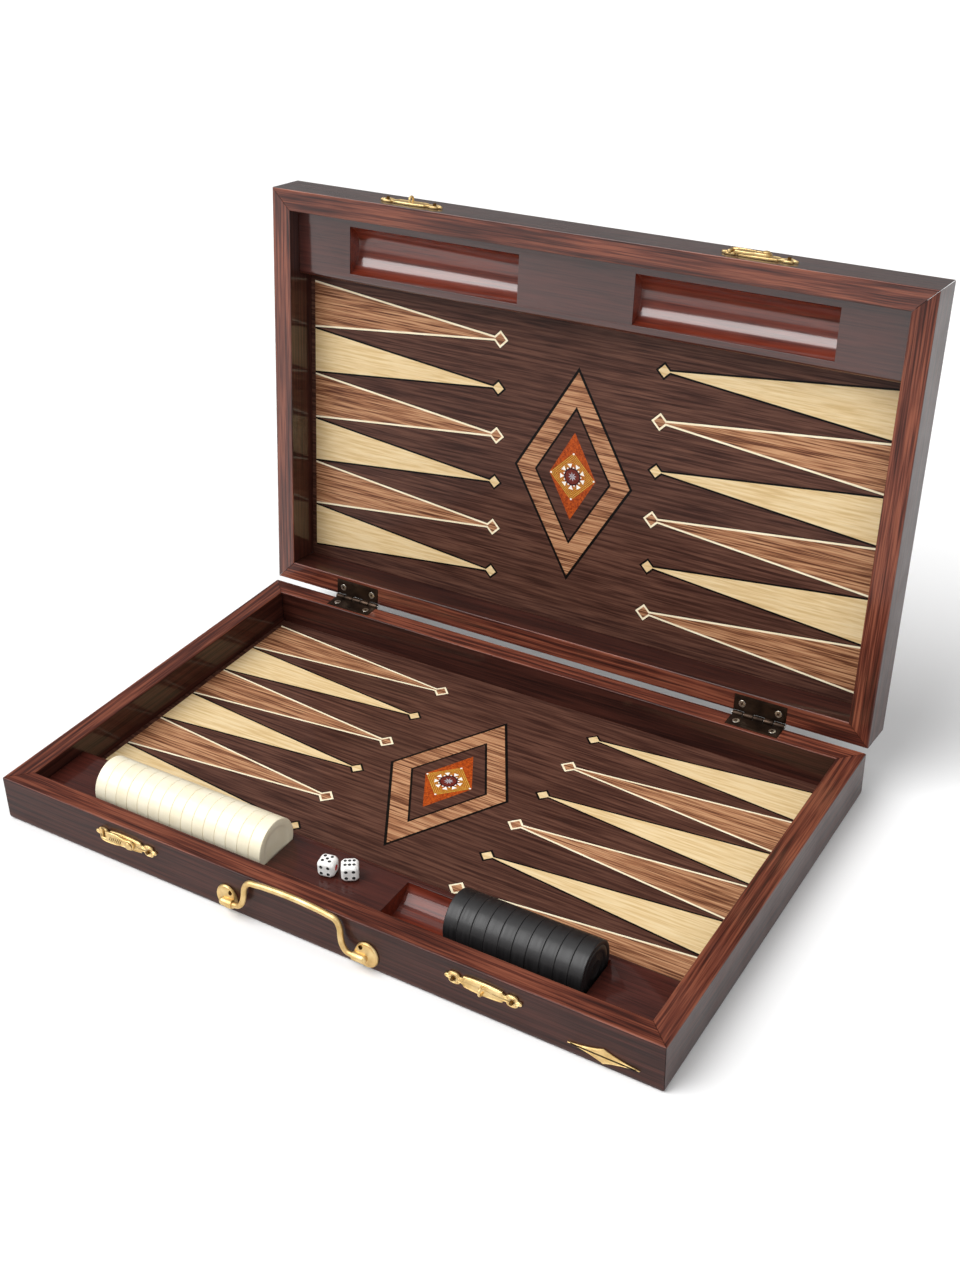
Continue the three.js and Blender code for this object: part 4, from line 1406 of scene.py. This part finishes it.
# %% Ribs of the hook
shell_ribs, given, shown = new_tree(
    "shell_ribs", "GeometryNodeTree",
    [("Geometry", GEOMETRY, None), ("Count", COUNT, 6), ("Step", FLOAT, 0.002), ("Shrink", FLOAT, 0.08),
     ("Slant", FLOAT, 0.5), ("Material", MATERIAL, None)],
    [("Geometry", GEOMETRY)])
pace = put(shell_ribs, "ShaderNodeCombineXYZ", {0: given["Step"]}).outputs[0]
rib_line = put(shell_ribs, "GeometryNodeMeshLine", {"Count": given["Count"], "Offset": pace}).outputs[0]
rank = shell_ribs.nodes.new("GeometryNodeInputIndex").outputs[0]
size = calculate(shell_ribs, "SUBTRACT", 1.0, calculate(shell_ribs, "MULTIPLY", rank, given["Shrink"]))
scale = put(shell_ribs, "ShaderNodeCombineXYZ", {0: 1.0, 1: size, 2: 1.0}).outputs[0]
lean = put(shell_ribs, "ShaderNodeCombineXYZ", {2: given["Slant"]}).outputs[0]
values = {"Points": rib_line, "Instance": given["Geometry"], "Rotation": lean, "Scale": scale}
ribs = put(shell_ribs, "GeometryNodeInstanceOnPoints", values).outputs[0]
finish_tree(shell_ribs, ribs, shown[0], given["Material"])


def rib(name, half_length, half_width, height, material):
    """A low rounded ridge along y."""
    outline = arc((0, 0), half_width, half_length, 0, 345, 23)
    levels = [(0, 0), (0.1 * half_width, 0.4 * height), (0.45 * half_width, 0.85 * height),
              (0.85 * half_width, height)]
    return relief(name, outline, levels, material)


# %% [markdown]
# ## Round wire
#
# The staple is a bent wire, and so is the bow of the handle further on. A curve with a round
# bevel is the natural way to make both. It is turned into a mesh at once, because a material
# and a smooth shading by angle are set on a mesh.

# %% Wire of the staple
def rod_curve(name, radius, roundness):
    """A curve without points yet, whose lines will be round rods with closed ends."""
    curve = bpy.data.curves.new(name, "CURVE")
    curve.dimensions = "3D"
    curve.bevel_depth = radius
    curve.bevel_resolution = roundness
    curve.use_fill_caps = True
    return curve


def rod_piece(name, curve, material):
    """The rod of a curve as a plain mesh."""
    holder = put_in_scene(name, curve)
    mesh = bpy.data.meshes.new_from_object(holder)
    drop(holder)
    mesh.materials.clear()
    mesh.materials.append(material)
    return smooth(put_in_scene(name, mesh), 60)


def wire_arch(name, leg, rise, radius, material):
    """A staple's arch, standing on z = 0 in the plane x = 0."""
    curve = rod_curve(name, radius, 4)
    spline = curve.splines.new("POLY")
    points = [(0, -leg, -0.5 * mm)] + [(0, y, rise + z) for y, z in arc((0, 0), leg, leg, 180, 0, 14)]
    points += [(0, leg, -0.5 * mm)]
    spline.points.add(len(points) - 1)
    for point, place in zip(spline.points, points):
        point.co = (*place, 1)
    return rod_piece(name, curve, material)


# %% [markdown]
# ## Outline of the hook
#
# A hook is one flat outline about its pivot: a round eye, a leaf, a slim waist and a finger that
# lies on a circle round the pivot, so that it slips through the staple as the hook turns. The
# other hook is the same outline mirrored.

# %% Outline of the hook
def hook_outline(reach, closing):
    """The leaf, waist and finger of a hook about its pivot. closing is 1 or -1."""
    eye = 3.5 * mm
    finger_half = 1 * mm
    notch = reach - 3.7 * mm
    tip_angle, root_angle = math.radians(11), math.radians(-4)

    def on_arc(radius, angle):
        return (-radius * math.cos(angle), radius * math.sin(angle))

    leaf_top = (-9 * mm, 4.2 * mm)
    outline = bend((0, eye), (-6 * mm, 2.6 * mm), leaf_top, 6)
    outline += bend(leaf_top, (-14 * mm, 5 * mm), (-notch, 3.4 * mm), 6)
    outline += [(-notch, 3.4 * mm), on_arc(notch, root_angle), on_arc(reach - finger_half, root_angle)]
    inner_tip, outer_tip = on_arc(reach - finger_half, tip_angle), on_arc(reach + finger_half, tip_angle)
    outline += bend(inner_tip, on_arc(reach, 1.25 * tip_angle), outer_tip, 4)
    outer_root = on_arc(reach + finger_half, root_angle)
    outline += [outer_tip]
    heel = (-reach + 4 * mm, -4.4 * mm)
    belly = (-8 * mm, -3.2 * mm)
    outline += bend(outer_root, (-reach - finger_half, heel[1]), heel, 5)
    outline += bend(heel, (-12 * mm, -4.6 * mm), belly, 6)
    outline += bend(belly, (-5 * mm, -2.4 * mm), (0, -eye), 6)
    outline += bend((0, -eye), (eye, -eye), (eye, 0), 6)
    outline += bend((eye, 0), (eye, eye), (0, eye), 6)
    if closing < 0:
        outline = [(x, -y) for x, y in outline][::-1]
    return outline


# %% [markdown]
# ## Putting the latches together
#
# The left hook swings on the base and the right one on the lid, so one loop goes over a small
# table that says which tray holds which half. Each hook turns with a body of its own.

# %% Put the latches together
hook_levels = [(0, 0), (0, 1.15 * mm), (0.3 * mm, 1.5 * mm), (0.6 * mm, 1.5 * mm), (0.72 * mm, 1.3 * mm),
               (0.85 * mm, 1.3 * mm)]
hook_reach = 23 * mm
hook_lift = 1.9 * mm
rivet_profile = [(0, 0), (1.4 * mm, 0), (1.4 * mm, 3.3 * mm), (2.6 * mm, 3.5 * mm), (2.65 * mm, 3.75 * mm),
                 (2.2 * mm, 4.2 * mm), (1.3 * mm, 4.55 * mm), (0, 4.65 * mm)]
latches = [
    # side, tray with the hook, tray with the staple, body of the hook, way the finger points
    ("left", "base", "lid", "left_hook", 1),
    ("right", "lid", "base", "right_hook", -1),
]
for side, hook_tray, staple_tray, hook_body, closing in latches:
    plate_node = f"{side}_latch_hook_plate"
    hook_plate, plate_place = latch_plate(f"{side}_hook_plate", plate_node, hook_tray)
    hand_over(hook_plate, hook_tray, plate_place, [plate_node])

    rivet_low, rivet_high = box_in(f"{side}_latch_pivot_rivet", shut_place[hook_tray])
    pivot_x, pivot_z = (rivet_low.x + rivet_high.x) / 2, (rivet_low.z + rivet_high.z) / 2
    leaf = relief(f"{side}_hook_leaf", hook_outline(hook_reach, closing), hook_levels, brass[hook_tray])
    smooth(leaf, 30)
    veins = rib(f"{side}_hook_veins", 2.6 * mm, 0.5 * mm, 0.28 * mm, brass[hook_tray])
    run_tree(veins, shell_ribs, count=7, step=-1.5 * mm, shrink=0.02, slant=-0.45 * closing,
             material=brass[hook_tray])
    veins.data.transform(Matrix.Translation((-6.6 * mm, 0, 1.28 * mm)))
    smooth(veins, 60)
    hook = join(f"{side}_hook_with_veins", [leaf, veins])
    hook_place = shut_place[hook_tray] @ on_front(pivot_x, pivot_z, hook_lift)
    hand_over(hook, hook_body, hook_place, [f"{side}_latch_hook"])

    rivet = smooth(turned(f"{side}_rivet", rivet_profile, 36, brass[hook_tray]), 40)
    rivet_place = shut_place[hook_tray] @ on_front(pivot_x, pivot_z, plate_gap)
    hand_over(rivet, hook_tray, rivet_place, [f"{side}_latch_pivot_rivet"])

    staple_node = f"{side}_latch_staple_plate"
    staple_plate, plate_place = latch_plate(f"{side}_staple_base", staple_node, staple_tray)
    arch = wire_arch(f"{side}_staple_wire", 2.4 * mm, 2.7 * mm, 0.8 * mm, brass[staple_tray])
    staple = join(f"{side}_staple", [staple_plate, arch])
    hand_over(staple, staple_tray, plate_place, [staple_node])


# %% [markdown]
# ## Nailing the plates down
#
# Two nails hold each plate. The tree for fasteners sets all four nails of a tray at once: two
# groups as far apart as the plates, with two nails in each.

# %% Nails in the plates
nail_lift = 0.7 * mm
for tray, place in shut_place.items():
    nodes = ["left_latch_hook_plate", "right_latch_staple_plate"]
    if tray == "lid":
        nodes = ["left_latch_staple_plate", "right_latch_hook_plate"]
    boxes = [box_in(node, place) for node in nodes]
    middles = [(low.x + high.x) / 2 for low, high in boxes]
    height = (boxes[0][0].z + boxes[0][1].z) / 2
    nails = make_nail(f"{tray}_latch_nails", 0.95 * mm, aged_brass_and_shade[tray])
    run_tree(nails, fasteners, groups=2, group_spacing=middles[1] - middles[0], each=2,
             each_spacing=nail_spacing, seed=5, material=aged_brass_and_shade[tray])
    hand_over(nails, tray, place @ on_front(sum(middles) / 2, height, plate_gap + nail_lift))


# %% [markdown]
# ## Handle
#
# The bail is a brass rod bent to a flat bow, thicker at the grip than at its ends. Its turned-in
# ends sit in two oval cast plates, each with a turned sleeve that holds the rod. The rod is a
# round wire like the staple's, but with a smooth curve through its points and a radius at each.

# %% Bail
handle_joint = next(joint for joint in frame["joints"] if joint["name"] == "handle_swing")
bail_pivot = Vector(handle_joint["pos_m"])
bail_low, bail_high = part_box("handle_bail")
bail_half = (bail_high.x - bail_low.x) / 2
bail_lean = math.radians(6.2)
bail_radius = 1.9 * mm
end_play = 0.4 * mm
bail_shape = [
    # share of the half length, height above the pivot in mm, share of the full radius
    (1.0, 0, 0.95), (0.93, 0, 0.95), (0.86, 0, 0.92), (0.782, 0.95, 0.95), (0.727, 4.6, 1.0),
    (0.703, 9.5, 1.0), (0.688, 15.5, 1.0), (0.637, 19.7, 1.0), (0.508, 21.3, 1.0),
    (0.254, 22.5, 1.04), (0.0, 22.9, 1.06),
]


def make_bail(name, material):
    curve = rod_curve(name, bail_radius, 6)
    curve.resolution_u = 10
    spline = curve.splines.new("BEZIER")
    whole = [(-x, z, r) for x, z, r in bail_shape] + [(x, z, r) for x, z, r in reversed(bail_shape[:-1])]
    spline.bezier_points.add(len(whole) - 1)
    for point, (x, z, r) in zip(spline.bezier_points, whole):
        point.co = (x * (bail_half - end_play), 0, z * mm)
        point.radius = r
        point.handle_left_type = "AUTO"
        point.handle_right_type = "AUTO"
    return rod_piece(name, curve, material)


bail = make_bail("bail_rod", brass["base"])
lean = Matrix.Translation(bail_pivot) @ Matrix.Rotation(-bail_lean, 4, "X")
hand_over(bail, "handle", lean, ["handle_bail"])

# %% [markdown]
# ## Plates of the handle
#
# A cast plate has soft forms, so it is a fine grid over an oval whose height comes from one small
# function: a dish, a bead near the rim and a skirt below the sleeve. The sleeve that holds the rod
# is turned and joined on, and a hole is cut for the screw.

# %% Handle plates and their screws
plate_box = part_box("handle_right_plate")
oval_half = ((plate_box[1].x - plate_box[0].x) / 2, (plate_box[1].z - plate_box[0].z) / 2)
pivot_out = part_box("base_front_rail")[0].y - plate_gap - bail_pivot.y
pivot_lift = bail_pivot.z - (plate_box[0].z + plate_box[1].z) / 2
handle_screw = (-3.6 * mm, 5.0 * mm)
screw_lift = 0.9 * mm


def plate_height(x, y, share):
    """Height of the handle plate at a point. share is 0 in the middle and 1 at the rim."""
    bead = 0.6 * math.exp(-((share - 0.92) / 0.06) ** 2)
    along = max(0.0, abs(x + 2.4 * mm) - 2.4 * mm) / (3.4 * mm)
    across = (y - pivot_lift) / (4.4 * mm)
    skirt = 2.6 * math.exp(-along ** 2 - across ** 2)
    fall = 1 - 0.55 * max(0.0, (share - 0.94) / 0.06) ** 2
    return (0.8 + bead + skirt) * fall * mm


def handle_plate(name, material):
    """Rings over an oval, with an upright edge and a flat back."""
    rings, sides = 30, 96
    vertices = [(0, 0, plate_height(0, 0, 0))]
    for ring in range(1, rings + 1):
        share = ring / rings
        for index in range(sides):
            angle = 2 * math.pi * index / sides
            x, y = oval_half[0] * share * math.cos(angle), oval_half[1] * share * math.sin(angle)
            vertices.append((x, y, plate_height(x, y, share)))
    back_start = len(vertices)
    for index in range(sides):
        angle = 2 * math.pi * index / sides
        vertices.append((oval_half[0] * math.cos(angle), oval_half[1] * math.sin(angle), 0))
    faces = [[0, 1 + index, 1 + (index + 1) % sides] for index in range(sides)]
    for ring in range(rings - 1):
        start = 1 + ring * sides
        for index in range(sides):
            following = (index + 1) % sides
            outer = start + sides
            faces.append([start + index, outer + index, outer + following, start + following])
    last = 1 + (rings - 1) * sides
    for index in range(sides):
        following = (index + 1) % sides
        faces.append([last + index, back_start + index, back_start + following, last + following])
    faces.append(list(range(back_start, back_start + sides))[::-1])
    dish = add_piece(f"{name}_dish", vertices, faces, material)

    end_x, mouth_x, radius = 2.6 * mm, -7.2 * mm, 2.75 * mm
    profile = [(0, mouth_x), (0.8 * radius, mouth_x), (0.97 * radius, mouth_x + 0.2 * mm),
               (radius, mouth_x + 0.6 * mm)]
    profile += [(r, end_x + h) for r, h in arc((0, -radius), radius, radius, 0, 90, 10)[:-1]]
    profile += [(0, end_x)]
    sleeve = turned(f"{name}_sleeve", profile, 40, material)
    along_x = Matrix.Rotation(math.pi / 2, 4, "Y")
    sleeve.data.transform(Matrix.Translation((0, pivot_lift, pivot_out)) @ along_x)
    return join(name, [dish, sleeve])


for side, hand in (("left", 1), ("right", -1)):
    node = f"handle_{side}_plate"
    low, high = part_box(node)
    made = handle_plate(f"{side}_handle_plate", brass["base"])
    made.data.transform(Matrix.Diagonal((hand * -1, 1, 1, 1)))
    if hand > 0:
        made.data.flip_normals()
    # The screw's hole brings the dark brass, as painted shade on its walls and floor.
    hole = turned("screw_hole", drum(1.45 * mm, 0.4 * mm, 4 * mm), 24, aged_brass_and_shade["base"])
    hole.data.transform(Matrix.Translation((hand * -handle_screw[0], handle_screw[1], 0)))
    carve(made, hole)
    smooth(made, 40)
    made_place = on_front((low.x + high.x) / 2, (low.z + high.z) / 2, plate_gap)
    hand_over(made, "base", made_place, [node])

left_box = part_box("handle_left_plate")
handle_middle = (left_box[0].x + plate_box[1].x) / 2
screw_apart = plate_box[1].x - left_box[0].x - 2 * oval_half[0] + 2 * handle_screw[0]
screw_height = (plate_box[0].z + plate_box[1].z) / 2 + handle_screw[1]
screws = make_screw("handle_screws", 1.3 * mm, aged_brass_and_shade["base"])
run_tree(screws, fasteners, groups=2, group_spacing=screw_apart, each=1, seed=2,
         material=aged_brass_and_shade["base"])
hand_over(screws, "base", on_front(handle_middle, screw_height, plate_gap + screw_lift))

# %% [markdown]
# ## Front ornament
#
# A thin pressed brass lozenge closes the right end of the front. Its sides curve in, and a groove
# follows them, like the latch plates.

# %% Ornament
ornament_low, ornament_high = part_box("front_ornament")
ornament_middle = (ornament_low + ornament_high) / 2
ornament_half = ((ornament_high.x - ornament_low.x) / 2, (ornament_high.z - ornament_low.z) / 2)


def curved_lozenge(half_x, half_y):
    """A lozenge whose four sides curve in, each a third of the way to the middle."""
    steps = 12
    corners = [(half_x, 0), (0, half_y), (-half_x, 0), (0, -half_y)]
    outline = []
    for index, corner in enumerate(corners):
        following = corners[(index + 1) % 4]
        control = ((corner[0] + following[0]) / 3, (corner[1] + following[1]) / 3)
        outline += bend(corner, control, following, steps)
    return outline


ornament_levels = [(0, 0), (0.05 * mm, 0.5 * mm), (0.3 * mm, 0.75 * mm), (0.55 * mm, 0.75 * mm),
                   (0.7 * mm, 0.55 * mm), (0.85 * mm, 0.75 * mm)]
ornament = relief("brass_lozenge", curved_lozenge(*ornament_half), ornament_levels, brass["base"])
smooth(ornament, 25)
ornament_place = on_front(ornament_middle.x, ornament_middle.z, plate_gap)
hand_over(ornament, "base", ornament_place, ["front_ornament"])

# %% [markdown]
# ## Floor and light
#
# The case stands on a plain pale floor. A broad lamp, far off to the front and left, lights case
# and floor evenly with soft shadows. A weak one from the right and the pale room fill the
# shadows, and a long soft box overhead draws highlights on the lacquer. Colours are shown without
# a film curve, so the ground stays white.

# %% Floor, lamps and world
floor_material, floor_tree, floor_shader = new_material("pale_floor")
floor_vector = pattern_vector(floor_tree, upright)
floor_mottle = noise(floor_tree, floor_vector, 3.0, 2.0)
floor_tree.links.new(between(floor_tree, floor_mottle, colour(243, 243, 243), colour(247, 247, 247)),
                     floor_shader.inputs["Base Color"])
floor_shader.inputs["Roughness"].default_value = 0.9
floor_shader.inputs["Specular IOR Level"].default_value = 0.1
floor_half = 12
floor = add_piece("floor", [(-floor_half, -floor_half, 0), (floor_half, -floor_half, 0),
                            (floor_half, floor_half, 0), (-floor_half, floor_half, 0)],
                  [[0, 1, 2, 3]], floor_material)


def aim(place, target):
    return (Vector(target) - Vector(place)).to_track_quat("-Z", "Y").to_euler()


def new_lamp(name, kind, place, target, power):
    """Puts a lamp in the scene, aimed at its target, and gives its settings."""
    data = bpy.data.lights.new(name, kind)
    data.energy = power
    lamp = put_in_scene(name, data)
    lamp.location = place
    lamp.rotation_euler = aim(place, target)
    return data


sky_lamp = new_lamp("broad_sky_lamp", "SUN", (-1.1, -1.3, 2.0), (0, 0, 0), 3.1)
sky_lamp.angle = math.radians(50)
fill_lamp = new_lamp("right_fill", "SUN", (1.5, -0.7, 0.9), (0, 0, 0), 0.8)
fill_lamp.angle = math.radians(70)
overhead = new_lamp("overhead", "AREA", (0.1, 0.3, 1.9), (0, 0, 0.05), 6)
overhead.shape = "RECTANGLE"
overhead.size, overhead.size_y = 1.8, 0.8

world = bpy.data.worlds.new("pale_room")
world.use_nodes = True
background = world.node_tree.nodes["Background"]
background.inputs[0].default_value = (1.0, 1.0, 1.0, 1.0)
background.inputs[1].default_value = 0.3
bpy.context.scene.world = world
bpy.context.scene.view_settings.view_transform = "Standard"
print("lamps:", sky_lamp.name, fill_lamp.name, overhead.name)
